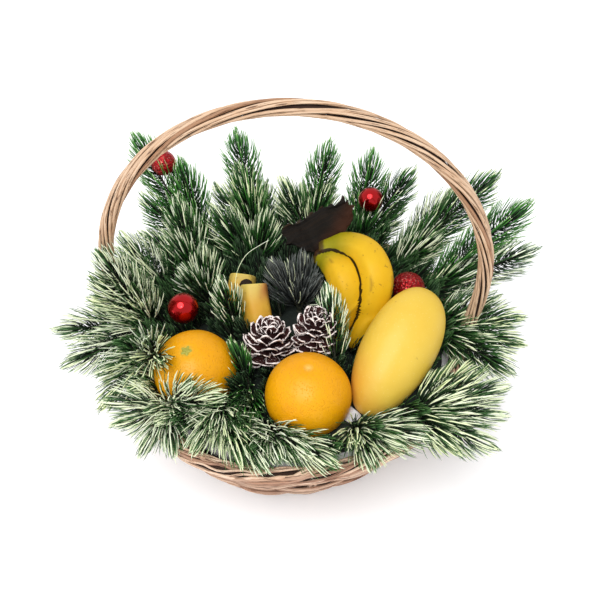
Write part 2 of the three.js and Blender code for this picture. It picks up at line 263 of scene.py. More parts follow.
def smooth_path(points, count):
    """A smooth curve through the points, with evenly spaced points of its own."""
    knots = [np.array(point, float) for point in points]
    knots = [2 * knots[0] - knots[1], *knots, 2 * knots[-1] - knots[-2]]
    dense = []
    for before, start, end, after in zip(knots, knots[1:], knots[2:], knots[3:]):
        first = np.linalg.norm(start - before) ** 0.5
        second = first + np.linalg.norm(end - start) ** 0.5
        last = second + np.linalg.norm(after - end) ** 0.5
        at = np.linspace(first, second, 24)[:, None]
        lead = (first - at) / first * before + at / first * start
        middle = ((second - at) * start + (at - first) * end) / (second - first)
        tail = ((last - at) * end + (at - second) * after) / (last - second)
        rise = ((second - at) * lead + at * middle) / second
        fall = ((last - at) * middle + (at - first) * tail) / (last - first)
        dense.append(((second - at) * rise + (at - first) * fall) / (second - first))
    return steady(np.concatenate(dense), count)


def frames_along(path, across):
    """The direction ahead and two sideways directions at each point of a path."""
    ahead = unit(np.gradient(path, axis=0))
    side = unit(np.cross(across, ahead))
    return ahead, side, np.cross(ahead, side)


def read_along(values, path, at):
    """Values given for a path's points, read at distances along it."""
    run = distance_along(path)
    return np.stack([np.interp(at, run, values[:, axis]) for axis in range(values.shape[1])], axis=1)


# Shapes


def turned(profile, sides):
    """A closed shape turned about Z from pairs of radius and height."""
    bm = bmesh.new()
    chain = [bm.verts.new((radius, 0, height)) for radius, height in profile]
    edges = [bm.edges.new(pair) for pair in zip(chain, chain[1:])]
    bmesh.ops.spin(
        bm, geom=chain + edges, axis=(0, 0, 1), cent=(0, 0, 0), steps=sides, angle=TURN,
        use_merge=True,
    )
    bmesh.ops.remove_doubles(bm, verts=bm.verts, dist=1e-4)
    bmesh.ops.recalc_face_normals(bm, faces=bm.faces)
    return bm


def spots_of(bm):
    """The places of the shape's points."""
    return np.array([vertex.co for vertex in bm.verts])


def reshape(bm, change, *values):
    """Moves every point of the shape to where change puts it."""
    for vertex, spot in zip(bm.verts, change(spots_of(bm), *values)):
        vertex.co = spot
    return bm


def bent_along(path, across):
    """A change that bends a shape standing on Z so that it follows the path."""
    ahead, side, other = frames_along(path, across)

    def change(spots):
        at = spots[:, 2]
        moved = read_along(path, path, at)
        moved += spots[:, :1] * read_along(side, path, at)
        return moved + spots[:, 1:2] * read_along(other, path, at)

    return change


def stand(bm, direction, place):
    """Turns a shape from standing on Z to standing on a direction, and moves it to a place."""
    turn = Vector((0, 0, 1)).rotation_difference(Vector(direction)).to_matrix().to_4x4()
    bmesh.ops.transform(bm, matrix=Matrix.Translation(place) @ turn, verts=bm.verts)
    return bm


def crumple(spots, size, amount, offset=0.0):
    """Points moved by smooth noise of a given size."""
    moves = [noise.noise_vector(Vector(spot + offset) / size) for spot in spots]
    return spots + amount * np.array(moves)


def lobed(spots, count, depth, fine_depth=0.0):
    """Points moved out and in to give a turned shape lobes, and finer lobes between them."""
    bearing = np.arctan2(spots[:, 1], spots[:, 0])
    reach = 1 + depth * np.cos(count * bearing) + fine_depth * np.cos(2 * count * bearing)
    return spots * np.stack([reach, reach, np.ones(len(spots))], axis=1)


def half_circle(rings):
    """Pairs of reach and height from the lowest to the highest point of a ball of radius one."""
    angles = [math.pi * ring / rings for ring in range(1, rings)]
    return [(0, -1), *((math.sin(angle), -math.cos(angle)) for angle in angles), (0, 1)]


class Shape:
    """A small mesh kept as arrays: its points, and the corners and sizes of its faces."""

    def __init__(self, bm):
        bm.verts.index_update()
        self.points = spots_of(bm)
        self.corners = np.array([vertex.index for face in bm.faces for vertex in face.verts])
        self.sizes = np.array([len(face.verts) for face in bm.faces])
        bm.free()


class Bunch:
    """Many shapes gathered as one mesh. Each point carries a tint of three numbers."""

    def __init__(self):
        self.points = []
        self.corners = []
        self.sizes = []
        self.tints = []
        self.maps = []
        self.finish_numbers = []
        self.count = 0

    def add(self, shape, points, tints, corner_map=None, finish_number=0):
        """Adds copies of a shape. points is copies x points x 3, and tints is as long."""
        copies, size = points.shape[:2]
        starts = self.count + size * np.arange(copies)
        self.corners.append((shape.corners[None, :] + starts[:, None]).ravel())
        self.sizes.append(np.tile(shape.sizes, copies))
        self.points.append(points.reshape(-1, 3))
        self.tints.append(np.broadcast_to(tints, points.shape).reshape(-1, 3))
        if corner_map is None:
            corner_map = np.zeros((len(shape.corners), 2))
        self.maps.append(np.tile(corner_map, (copies, 1)))
        self.finish_numbers.append(np.full(copies * len(shape.sizes), finish_number))
        self.count += copies * size

    def add_bmesh(self, bm, tint, finish_number=0):
        """Adds one modelled shape. tint gives its points' tints from their places."""
        shape = Shape(bm)
        tints = tint(shape.points) if callable(tint) else np.array(tint, float)
        self.add(shape, shape.points[None], tints, finish_number=finish_number)

    def mesh(self, name):
        points = np.concatenate(self.points) * METRE
        corners = np.concatenate(self.corners)
        sizes = np.concatenate(self.sizes)
        made = bpy.data.meshes.new(name)
        made.vertices.add(len(points))
        made.vertices.foreach_set("co", points.ravel())
        made.loops.add(len(corners))
        made.loops.foreach_set("vertex_index", corners.astype(np.int32))
        made.polygons.add(len(sizes))
        made.polygons.foreach_set("loop_start", (np.cumsum(sizes) - sizes).astype(np.int32))
        numbers = np.concatenate(self.finish_numbers).astype(np.int32)
        made.polygons.foreach_set("material_index", numbers)
        made.polygons.foreach_set("use_smooth", np.ones(len(sizes), bool))
        made.update(calc_edges=True)
        layer = made.uv_layers.new(name="UVMap")
        layer.data.foreach_set("uv", np.concatenate(self.maps).ravel().astype(np.float32))
        tint = made.attributes.new("tint", "FLOAT_COLOR", "POINT")
        colours = np.ones((len(points), 4), np.float32)
        colours[:, :3] = np.concatenate(self.tints)
        tint.data.foreach_set("color", colours.ravel())
        made.validate()
        return made


def add_piece(name, bunch, finishes, slot, *nodes):
    """Adds the bunch as a piece of the basket that stands for CAD nodes."""
    piece = bpy.data.objects.new(name, bunch.mesh(name))
    bpy.context.scene.collection.objects.link(piece)
    for finish in finishes:
        piece.data.materials.append(finish.material)
    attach(piece, "root")
    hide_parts(*nodes)
    return piece


class RodPattern:
    """A straight rod of unit radius from height 0 to 1, with its corners' unrolled map."""

    def __init__(self, rings, sides):
        profile = [(0, 0), *((1, ring / rings) for ring in range(rings + 1)), (0, 1)]
        self.shape = Shape(turned(profile, sides))
        corners = self.shape.points[self.shape.corners]
        turns = np.arctan2(corners[:, 1], corners[:, 0]) / TURN
        faces = np.repeat(np.arange(len(self.shape.sizes)), self.shape.sizes)
        highest = np.maximum.reduceat(turns, np.cumsum(self.shape.sizes) - self.shape.sizes)
        turns = np.where(highest[faces] - turns > 0.5, turns + 1, turns)
        self.corner_map = np.stack([corners[:, 2], turns], axis=1)


def lay_rod(bunch, pattern, path, radius, across, tone, finish_number=0, thinning=0.0):
    """Lays one rod along a path. thinning is how much of its radius it loses on the way."""
    length = distance_along(path)[-1]
    spots = pattern.shape.points
    share = spots[:, 2]
    girth = radius * (1 - thinning * share)
    straight = np.stack([spots[:, 0] * girth, spots[:, 1] * girth, share * length], axis=1)
    points = bent_along(path, across)(straight)
    tints = np.stack([np.full(len(share), tone), share, np.full(len(share), length / 400)], axis=1)
    corner_map = pattern.corner_map * [length / 10, 1] + [50 * tone, 0]
    bunch.add(pattern.shape, points[None], tints[None], corner_map, finish_number)


# Materials


def paint(red, green, blue, share=PAINT_SHARE):
    """The paint that looks like a screen colour, from 0 to 255, in the studio's bright light."""
    light = []
    for value in (red / 255, green / 255, blue / 255):
        light.append(value / 12.92 if value <= 0.04045 else ((value + 0.055) / 1.055) ** 2.4)
    return (*(share * value for value in light), 1.0)


class Signal:
    """An output of a material's node. Sums and products of signals add Math nodes."""

    def __init__(self, finish, socket):
        self.finish = finish
        self.socket = socket

    def output(self, name):
        return Signal(self.finish, self.socket.node.outputs[name])

    def math(self, operation, first, second):
        return self.finish.node("ShaderNodeMath", {"operation": operation}, {0: first, 1: second})

    def __add__(self, other):
        return self.math("ADD", self, other)

    def __sub__(self, other):
        return self.math("SUBTRACT", self, other)

    def __rsub__(self, other):
        return self.math("SUBTRACT", other, self)

    def __mul__(self, other):
        return self.math("MULTIPLY", self, other)

    __radd__ = __add__
    __rmul__ = __mul__


class Finish:
    """One material, made of nodes."""

    def __init__(self, name):
        self.material = bpy.data.materials.new(name)
        self.material.use_nodes = True
        self.tree = self.material.node_tree
        self.tree.nodes.clear()

    def node(self, kind, settings=None, sockets=None, output=0):
        """Adds a node. Its settings are set first, then the values or links of its sockets."""
        made = self.tree.nodes.new(kind)
        for key, value in (settings or {}).items():
            if key == "stops":
                self.set_stops(made.color_ramp, value)
            else:
                setattr(made, key, value)
        for key, value in (sockets or {}).items():
            if isinstance(value, Signal):
                self.tree.links.new(value.socket, made.inputs[key])
            else:
                made.inputs[key].default_value = value
        return Signal(self, made.outputs[output]) if made.outputs else None

    @staticmethod
    def set_stops(ramp, stops):
        while len(ramp.elements) < len(stops):
            ramp.elements.new(0.5)
        for element, (place, colour) in zip(ramp.elements, stops):
            element.position = place
            element.color = colour

    def tint(self, name):
        """One of the three numbers that the mesh's points carry: Red, Green or Blue."""
        colour = self.node("ShaderNodeAttribute", {"attribute_name": "tint"})
        return self.node("ShaderNodeSeparateColor", None, {"Color": colour}, name)

    def place(self):
        return self.node("ShaderNodeTexCoord", output="Object")

    def unrolled(self, stretch):
        """The mesh's own map, stretched."""
        sockets = {0: self.node("ShaderNodeTexCoord", output="UV"), 1: stretch}
        return self.node("ShaderNodeVectorMath", {"operation": "MULTIPLY"}, sockets)

    def clouds(self, size, detail=2.0, vector=None, roughness=0.5):
        # Painted shade: the dark core and backing behind the rods, seen through the gaps between
        # them.
        """Smooth noise whose patches are about size millimetres, or one unit of a given vector."""
        sockets = {"Scale": 1 / (size * METRE) if vector is None else 1 / size}
        sockets["Vector"] = vector or self.place()
        sockets["Detail"] = detail
        sockets["Roughness"] = roughness
        return self.node("ShaderNodeTexNoise", None, sockets, 0)

    def cells(self, size, feature="F1", output="Distance"):
        """A pattern of cells about size millimetres across."""
        sockets = {"Vector": self.place(), "Scale": 1 / (size * METRE)}
        return self.node("ShaderNodeTexVoronoi", {"feature": feature}, sockets, output)

    def step(self, value, start, end):
        """0 below start and 1 above end, with a smooth rise between them."""
        sockets = {"Value": value, "From Min": start, "From Max": end}
        return self.node("ShaderNodeMapRange", {"interpolation_type": "SMOOTHSTEP"}, sockets)

    def mix(self, share, first, second):
        """The first colour where share is 0 and the second where it is 1."""
        sockets = {0: share, 6: first, 7: second}
        return self.node("ShaderNodeMix", {"data_type": "RGBA"}, sockets, 2)

    def layered(self, base, *layers):
        """The base colour under layers, each with its share and its own colour."""
        for share, colour in layers:
            base = self.mix(share, base, colour)
        return base

    def ramp(self, value, stops):
        return self.node("ShaderNodeValToRGB", {"stops": stops}, {0: value})

    def bump(self, height, depth):
        """A normal that follows a height, where a height of one is depth millimetres."""
        sockets = {"Height": height, "Distance": depth * METRE, "Strength": 1.0}
        return self.node("ShaderNodeBump", None, sockets)

    def surface(self, **sockets):
        """The shader itself. Socket names are written with underscores."""
        named = {key.replace("_", " "): value for key, value in sockets.items()}
        shader = self.node("ShaderNodeBsdfPrincipled", None, named)
        self.node("ShaderNodeOutputMaterial", None, {"Surface": shader})
        return self


def rod_finish(name, pale, tan, brown):
    """Peeled willow: long streaks, rods of unequal tone, and dark streaks painted along the rods as
    the shade in the gaps between them.
    """
    finish = Finish(name)
    streaks = finish.clouds(1.0, 3.0, finish.unrolled((0.5, 7.0, 1.0)), 0.6)
    tone = finish.tint("Red")
    patches = finish.clouds(38, 2.0)
    dry = finish.step(streaks * 0.7 + patches * 0.3, 0.36, 0.62)
    aged = finish.step(tone + patches * 0.3, 0.62, 1.2)
    # Dark streaks along each rod are painted shade, standing for the shadowed gaps between the rods.
    gap_shade_streaks = 1 - finish.step(streaks, 0.36, 0.45)
    colour = finish.layered(
        finish.mix(dry, tan, pale), (aged * 0.8, brown), (gap_shade_streaks * 0.85, paint(74, 38, 24))
    )
    normal = finish.bump(streaks, 0.5)
    return finish.surface(Base_Color=colour, Roughness=0.72 - dry * 0.18, Normal=normal)


def mottled_finish(name, size, detail, dark, light, roughness, depth, grain=0.5):
    """Two tones in soft patches that are raised a little."""
    finish = Finish(name)
    patches = finish.clouds(size, detail, roughness=grain)
    colour = finish.mix(patches, dark, light)
    normal = finish.bump(patches, depth)
    return finish.surface(Base_Color=colour, Roughness=roughness, Normal=normal)


def needle_finish():
    """Green needles painted dark at their roots as shade, whose outer part has pale flock where there
    is frost.

    With little frost the green is mixed with a painted shaded copy, and with none the needle is a
    dull grey.
    """
    finish = Finish("frosted_needle")
    along = finish.tint("Red")
    each = finish.tint("Green")
    frost = finish.tint("Blue")
    speck = finish.clouds(2.2, 3.0)
    # The green darkens towards the root as painted shade inside the spray.
    green = finish.ramp(along, (
        (0.0, paint(7, 14, 9)),
        (0.35, paint(19, 58, 17)),
        (0.7, paint(50, 130, 36)),
        (1.0, paint(126, 206, 90)),
    ))
    shaded = finish.ramp(along, (
        (0.0, paint(7, 13, 10)),
        (0.6, paint(17, 32, 21)),
        (1.0, paint(62, 84, 62)),
    ))
    dull = finish.ramp(along, (
        (0.0, paint(40, 44, 46)),
        (0.6, paint(78, 84, 83)),
        (1.0, paint(132, 138, 134)),
    ))
    green = finish.mix(finish.step(frost, 0.0, 0.12), shaded, green)
    green = finish.mix(finish.step(frost, 0.0, 0.01), dull, green)
    cover = along * 0.8 + frost + (speck - 0.5) * 0.2
    flock = finish.step(cover, 0.8, 0.92)
    pale = finish.mix(each, paint(246, 255, 196, 1.0), paint(248, 255, 236, 1.0))
    colour = finish.mix(flock * 0.96, green, pale)
    return finish.surface(
        Base_Color=colour, Roughness=0.55 + flock * 0.3, Normal=finish.bump(speck, 0.12)
    )


def twig_finish():
    finish = Finish("wrapped_twig")
    wraps = finish.clouds(1.0, 2.0, finish.unrolled((3.0, 1.0, 1.0)))
    colour = finish.mix(wraps, paint(20, 30, 20), paint(58, 60, 38))
    return finish.surface(Base_Color=colour, Roughness=0.8, Normal=finish.bump(wraps, 0.4))


def orange_finish():
    """Thick peel: fine oil pores, a pale navel or a stem scar, and broad changes of tone."""
    finish = Finish("orange_peel")
    pits = finish.step(finish.cells(1.6), 0.0, 0.42)
    tone = finish.clouds(34, 2.0)
    colour = finish.layered(
        finish.mix(tone, paint(250, 164, 0), paint(255, 186, 6)),
        ((1 - pits) * 0.25, paint(232, 130, 2)),
        (
            finish.tint("Green"),
            finish.mix(finish.tint("Red"), paint(250, 206, 110), paint(206, 190, 74)),
        ),
    )
    height = pits + finish.clouds(4.5, 2.0) * 0.8
    return finish.surface(
        Base_Color=colour, Roughness=0.38 + (1 - pits) * 0.14, Normal=finish.bump(height, 0.32),
        Coat_Weight=0.05, Coat_Roughness=0.3, Specular_IOR_Level=0.25,
    )


def mango_finish():
    """Smooth waxy skin, yellow with an orange blush, pale freckles and a few brown marks."""
    finish = Finish("mango_skin")
    tone = finish.clouds(30, 3.0)
    blush = finish.step(finish.tint("Red") + (tone - 0.5) * 0.5, 0.25, 0.95)
    freckles = 1 - finish.step(finish.cells(3.2), 0.05, 0.22)
    marks = finish.step(finish.clouds(7, 4.0), 0.70, 0.78)
    colour = finish.layered(
        finish.mix(tone, paint(240, 196, 62), paint(246, 210, 84)),
        (blush, paint(238, 176, 62)),
        (freckles * 0.35, paint(252, 232, 150)),
        (marks * 0.5, paint(168, 110, 40)),
        (finish.tint("Green"), paint(70, 44, 22)),
    )
    ripple = finish.clouds(13, 2.0)
    return finish.surface(
        Base_Color=colour, Roughness=0.42 + tone * 0.1, Normal=finish.bump(ripple, 0.7),
        Coat_Weight=0.08, Coat_Roughness=0.3, Specular_IOR_Level=0.35,
    )


def banana_finish():
    """Ripe skin: green at the neck, brown at the tip, painted shade in the crease, and a few brown
    flecks.
    """
    finish = Finish("banana_skin")
    along = finish.tint("Red")
    tone = finish.clouds(26, 3.0)
    green = 1 - finish.step(along + (tone - 0.5) * 0.1, 0.08, 0.34)
    flecks = finish.step(finish.clouds(5, 5.0, roughness=0.7), 0.62, 0.70)
    lines = finish.tint("Green") * finish.step(finish.clouds(16, 4.0), 0.5, 0.62)
    brown = finish.mix(tone, paint(72, 40, 14), paint(124, 76, 24))
    # The crease where the two fingers meet is painted shade.
    crease = finish.step(finish.tint("Blue") + (tone - 0.5) * 0.7, 0.3, 0.5)
    neck = 1 - finish.step(along + (tone - 0.5) * 0.03, 0.02, 0.045)
    tip = finish.step(along + (tone - 0.5) * 0.06, 0.955, 0.985)
    colour = finish.layered(
        finish.mix(tone, paint(236, 176, 4), paint(247, 202, 34)),
        (green * 0.95, paint(150, 146, 10)),
        (flecks * 0.6, brown),
        (lines * 0.45, brown),
        (crease * 0.95, paint(38, 22, 8)),
        (neck * 0.85, paint(66, 38, 16)),
        (tip, paint(52, 34, 18)),
    )
    return finish.surface(
        Base_Color=colour, Roughness=0.46 + tone * 0.12, Specular_IOR_Level=0.25,
        Normal=finish.bump(tone + flecks * 0.3, 0.5),
    )


def pale_banana_finish():
    """The left fingers: paler skin with an orange middle, a lemon top and a bruised right edge."""
    finish = Finish("pale_banana_skin")
    along = finish.tint("Red")
    tone = finish.clouds(22, 3.0)
    cut = 1 - finish.step(along + (tone - 0.5) * 0.04, 0.0, 0.03)
    specks = finish.step(finish.clouds(6, 4.0, roughness=0.65), 0.6, 0.7)
    across = finish.node("ShaderNodeSeparateXYZ", None, {"Vector": finish.place()}, "X")
    right = finish.step(across + (tone - 0.5) * 0.012, BRUISE_START, BRUISE_END)
    bruise = right * (1 - finish.step(along, 0.1, 0.5))
    colour = finish.layered(
        finish.mix(tone, paint(226, 156, 40), paint(240, 194, 70)),
        (1 - finish.step(along, 0.02, 0.5), paint(228, 198, 98)),
        (cut, paint(238, 214, 110)),
        (specks * 0.5, paint(150, 96, 34)),
        (bruise * 0.75, paint(186, 100, 54)),
    )
    return finish.surface(
        Base_Color=colour, Roughness=0.5 + tone * 0.1, Specular_IOR_Level=0.35,
        Normal=finish.bump(tone + specks * 0.3, 0.5),
    )


def stalk_finish():
    """Dried banana stalk: nearly black, with brown fibres at its torn edge and where it wraps."""
    finish = Finish("dried_stalk")
    grain = finish.clouds(5, 5.0, roughness=0.65)
    aside = {"X": finish.tint("Blue"), "Y": grain * 0.02}
    fibres = finish.clouds(0.022, 4.0, finish.node("ShaderNodeCombineXYZ", None, aside), 0.6)
    torn = finish.step(finish.tint("Red") * 0.6 + fibres * 0.7, 0.62, 0.85)
    colour = finish.layered(
        finish.mix(finish.step(fibres, 0.35, 0.7), paint(9, 7, 4), paint(34, 23, 12)),
        (finish.tint("Green") * 0.4, paint(92, 44, 14)),
        (torn * 0.22, paint(110, 80, 46)),
    )
    return finish.surface(
        Base_Color=colour, Roughness=0.8, Specular_IOR_Level=0.25,
        Normal=finish.bump(fibres + grain * 0.3, 1.2),
    )


def cone_finish():
    """Dark woody scales with ragged white paint on their edges."""
    finish = Finish("painted_cone")
    edge = finish.tint("Red")
    each = finish.tint("Green")
    grain = finish.clouds(2.2, 4.0, roughness=0.7)
    cover = finish.step(edge * 0.8 + (grain - 0.5) * 2.4 + (each - 0.5) * 0.3, 0.3, 0.42)
    colour = finish.layered(
        finish.mix(grain, paint(22, 6, 8), paint(66, 22, 22)),
        (each * finish.tint("Blue") * 0.4, paint(104, 48, 40)),
        (cover * 0.96, paint(252, 240, 236, 1.0)),
    )
    return finish.surface(
        Base_Color=colour, Roughness=0.75, Specular_IOR_Level=0.3,
        Normal=finish.bump(grain + cover * 0.6, 0.4),
    )


def gloss_finish():
    """Lacquered red glass."""
    finish = Finish("bauble_lacquer")
    tone = finish.clouds(9, 1.0)
    colour = finish.mix(tone, paint(168, 0, 6, 1.0), paint(196, 2, 12, 1.0))
    return finish.surface(
        Base_Color=colour, Metallic=0.9, Roughness=0.1 + tone * 0.03, Coat_Weight=0.4,
        Coat_Roughness=0.08,
    )


def glitter_finish():
    """Crinkled glitter: small facets that catch the light in different directions, with glints
    painted pale on a few.
    """
    finish = Finish("bauble_glitter")
    flake = finish.cells(1.1, output="Color")
    parts = finish.node("ShaderNodeSeparateColor", None, {"Color": flake}, "Red")
    sparkle = finish.step(parts, 0.86, 0.93)
    crinkle = finish.cells(2.4, feature="SMOOTH_F1")
    colour = finish.mix(parts.output("Green"), paint(122, 2, 10), paint(206, 14, 26))
    # A few flakes are painted pale as glints.
    colour = finish.mix(sparkle * 0.6, colour, paint(250, 150, 136))
    height = crinkle * 1.6 + parts.output("Blue") * 0.5
    return finish.surface(
        Base_Color=colour, Metallic=0.6, Roughness=0.32 - sparkle * 0.15,
        Normal=finish.bump(height, 0.9),
    )


def cap_finish():
    finish = Finish("bauble_cap_metal")
    tarnish = finish.clouds(3, 3.0)
    colour = finish.mix(tarnish, paint(176, 150, 96), paint(222, 204, 150))
    return finish.surface(Base_Color=colour, Metallic=1.0, Roughness=0.28 + tarnish * 0.2)


# Wicker basket


def wall_radius(height):
    return FOOT_RADIUS + (WALL_TOP_RADIUS - FOOT_RADIUS) * (height / WALL_HEIGHT) ** WALL_CURVE


def rings_about(bearings, radii, heights):
    """The path that a rod takes round the basket."""
    places = (radii * np.cos(bearings), radii * np.sin(bearings), heights)
    return np.stack(np.broadcast_arrays(*places), axis=1)


def waver(bearings, times, seed):
    """Smooth noise round the basket, for rods that don't run true."""
    return np.array([
        noise.noise(Vector((times * math.cos(b), times * math.sin(b), seed))) for b in bearings
    ])


def sagged(bearings, radii, heights):
    """Rods at the front left bulge and hang lower than the rest."""
    turn = np.degrees(bearings) % 360
    share = np.exp(-((turn - SAG_BEARING) / SAG_SPREAD) ** 2)
    low = np.minimum(SAG_DEPTH, heights - LOWEST_ROD)
    return radii + SAG_BULGE * share, heights - low * share


def basket_wall():
    """Bundles of thin rods weave in front of one stake and behind the next."""
    bunch = Bunch()
    levels = WEAVE_ROWS * RODS_IN_ROW
    long_rod = RodPattern(rings=STAKE_COUNT * 9, sides=6)
    stake_rod = RodPattern(rings=14, sides=6)
    for level in range(levels):
        row = level // RODS_IN_ROW
        bearings = np.linspace(0, TURN + WEAVE_OVERLAP, STAKE_COUNT * 13) + 0.9 * row + 0.11 * level
        wander = waver(bearings, 2.2, 1.7 * level)
        ripple = waver(bearings, 9, level)
        heights = (level + 0.5) * WALL_HEIGHT / levels + WALL_WANDER * wander + WALL_RIPPLE * ripple
        heights = np.clip(heights, LOWEST_ROD, WALL_HEIGHT)
        weave = WEAVE_SWING * (np.cos(STAKE_COUNT / 2 * bearings + row * math.pi) - 0.4)
        girth = WALL_ROD_GIRTH + WALL_ROD_SPREAD * chance.random()
        radii = wall_radius(heights) - girth + weave + 0.8 * wander + ripple
        path = rings_about(bearings, *sagged(bearings, radii, heights))
        lay_rod(bunch, long_rod, path, girth, (0, 0, 1), chance.random())
    heights = np.linspace(3, WALL_HEIGHT + 2, 16)
    radii = wall_radius(heights) - WALL_THICKNESS / 2
    for stake in range(STAKE_COUNT):
        bearing = TURN * stake / STAKE_COUNT
        across = (-math.sin(bearing), math.cos(bearing), 0)
        for turn in (-STAKE_TURN, STAKE_TURN):
            path = rings_about(bearing + turn, radii, heights)
            lay_rod(bunch, stake_rod, path, STAKE_GIRTH, across, chance.random())
    # A thin shell behind the rods is coloured dark as painted shade for the gaps in the weave.
    heights = [3, 25, 50, 80, WALL_HEIGHT - 2]
    inner = [(wall_radius(height) - WALL_THICKNESS, height) for height in heights]
    outer = [(radius + WALL_BACKING, height) for radius, height in inner]
    bunch.add_bmesh(turned([*outer, *reversed(inner), outer[0]], 66), (0, 0, 0), 1)
    add_piece("woven_wall", bunch, [wicker, gap_shade_core], "wicker", "basket_wall")


def basket_border():
    """The border: a roll of rods that wind slowly round the top of the wall."""
    bunch = Bunch()
    pattern = RodPattern(rings=170, sides=7)
    bearings = np.linspace(0, TURN, 340)
    for rod in range(RIM_RODS):
        wander = waver(bearings, 3, 4.1 * rod)
        ripple = waver(bearings, 11, 2.3 * rod)
        girth = RIM_ROD_GIRTH + RIM_ROD_SPREAD * chance.random()
        angle = RIM_WINDING * bearings + TURN * rod / RIM_RODS + 0.8 * wander + 0.45 * ripple
        reach = RIM_TUBE - girth + 0.8 * wander + 1.5 * ripple
        radii = RIM_RADIUS + reach * np.cos(angle)
        heights = RIM_HEIGHT + reach * np.sin(angle)
        path = rings_about(bearings, *sagged(bearings, radii, heights))
        lay_rod(bunch, pattern, path, girth, (0, 0, 1), chance.random())
    # The core under the rods is coloured dark as painted shade in the gaps between them.
    core = rings_about(bearings, *sagged(bearings, RIM_RADIUS, RIM_HEIGHT))
    lay_rod(bunch, pattern, core, RIM_CORE_GIRTH, (0, 0, 1), 0.5, 1)
    add_piece("woven_border", bunch, [wicker, gap_shade_core], "wicker", "basket_rim")


def basket_floor():
    """The floor: spokes with rings of rods woven over and under them."""
    bunch = Bunch()
    ring_pattern = RodPattern(rings=FLOOR_SPOKES * 8, sides=6)
    spoke_pattern = RodPattern(rings=20, sides=6)
    floor_radius = FOOT_RADIUS - FLOOR_MARGIN
    bearings = np.linspace(0, TURN + FLOOR_OVERLAP, FLOOR_SPOKES * 12)
    radii = np.linspace(FLOOR_START, floor_radius - FLOOR_RING_GIRTH, FLOOR_RINGS)
    for ring, radius in enumerate(radii):
        weave = FLOOR_WAVE * np.cos(FLOOR_SPOKES * bearings + ring * math.pi)
        path = rings_about(bearings, radius, FLOOR_HEIGHT + weave)
        lay_rod(bunch, ring_pattern, path, FLOOR_RING_GIRTH, (0, 0, 1), chance.random())
    radii = np.linspace(4, floor_radius - 1, 8)
    for spoke in range(2 * FLOOR_SPOKES):
        path = rings_about(TURN * (spoke + 0.5) / (2 * FLOOR_SPOKES), radii, FLOOR_HEIGHT)
        lay_rod(bunch, spoke_pattern, path, FLOOR_SPOKE_GIRTH, (0, 0, 1), chance.random())
    add_piece("woven_floor", bunch, [wicker], "wicker", "basket_floor")


def handle_path():
    """The middle line of the handle, from its -X foot over the top to its +X foot."""
    halfway = (RIM_RADIUS + HANDLE_HALF_SPAN) / 2
    foot = [
        (-RIM_RADIUS, 0, HANDLE_FOOT_HEIGHT),
        (-RIM_RADIUS - 1, 0, HANDLE_FOOT_HEIGHT + RIM_TUBE + 6),
        (-halfway - 2, 0, (HANDLE_FOOT_HEIGHT + HANDLE_SPRING_HEIGHT) / 2),
    ]
    top = []
    for angle in np.linspace(math.pi, 0, 17):
        rise = HANDLE_SPRING_HEIGHT + HANDLE_RISE * math.sin(angle)
        top.append((HANDLE_HALF_SPAN * math.cos(angle), 0, rise))
    return smooth_path([*foot, *top, *((-x, y, z) for x, y, z in reversed(foot))], 240)


def handle():
    """The handle: strands twisted round a core painted dark as the shade between the strands."""
    bunch = Bunch()
    path = handle_path()
    side, other = frames_along(path, (0, 1, 0))[1:]
    run = distance_along(path)
    rise = np.clip(np.minimum(run, run[-1] - run) / HANDLE_TAPER, 0, 1)
    tube = HANDLE_FOOT_TUBE + (HANDLE_TUBE - HANDLE_FOOT_TUBE) * rise * rise * (3 - 2 * rise)
    pattern = RodPattern(rings=110, sides=8)
    for strand in range(HANDLE_STRANDS):
        girth = HANDLE_STRAND_GIRTH * (1 + 0.5 * (chance.random() - 0.5))
        wander = np.array([noise.noise(Vector((at / 60, 5.3 * strand, 0))) for at in run])
        angle = TURN * (strand / HANDLE_STRANDS - run / HANDLE_PITCH) + 0.45 * wander
        reach = (tube - girth)[:, None] * (1 + 0.05 * wander[:, None])
        strand_path = path + reach * (np.cos(angle)[:, None] * side + np.sin(angle)[:, None] * other)
        lay_rod(bunch, pattern, strand_path, girth, (0, 1, 0), chance.random())
    # The core is painted dark as the shade between the strands.
    lay_rod(bunch, pattern, path, HANDLE_CORE_GIRTH, (0, 1, 0), 0.5, 1)
    add_piece("twisted_handle", bunch, [handle_rod, gap_shade_core], "handle_rods", "handle")


# Fruit


def round_fruit(radius, dimple):
    """A round fruit with a shallow dimple at its stem end."""
    profile = []
    for reach, rise in half_circle(48):
        inward = dimple * math.exp(-(math.acos(rise) / 0.16) ** 2)
        profile.append((radius * reach, ORANGE_FLATNESS * radius * rise - inward))
    return turned(profile, 64)


def orange(name, radius, axis, place, has_calyx):
    """An orange with a pale navel, or with a pale green patch and a small star at its stem."""
    bunch = Bunch()
    body = round_fruit(radius, 0.05 * radius)
    reshape(body, crumple, 34, 0.7, place[0])
    stand(body, axis, place)
    upright = unit(np.array(axis, float))
    top = np.array(place) + 0.92 * radius * upright
    reach = 5.6 if has_calyx else 3.0

    def marks(points):
        scar = np.clip(1.3 - np.linalg.norm(points - top, axis=1) / reach, 0, 1)
        return np.stack([np.full(len(points), float(has_calyx)), scar, scar], axis=1)

    bunch.add_bmesh(body, marks)
    if has_calyx:
        outline = [(0, 0), (3.4, 0), (5.0, 0.7), (3.6, 1.4), (1.8, 1.5), (1.4, 2.6), (0, 2.7)]
        star = turned(outline, 30)
        reshape(star, lobed, 5, 0.35)
        stand(star, axis, top - 0.4 * upright)
        bunch.add_bmesh(star, (0, 0, 0), 1)
    add_piece(f"{name}_peel", bunch, [orange_peel, orange_star], "orange_peel", name)


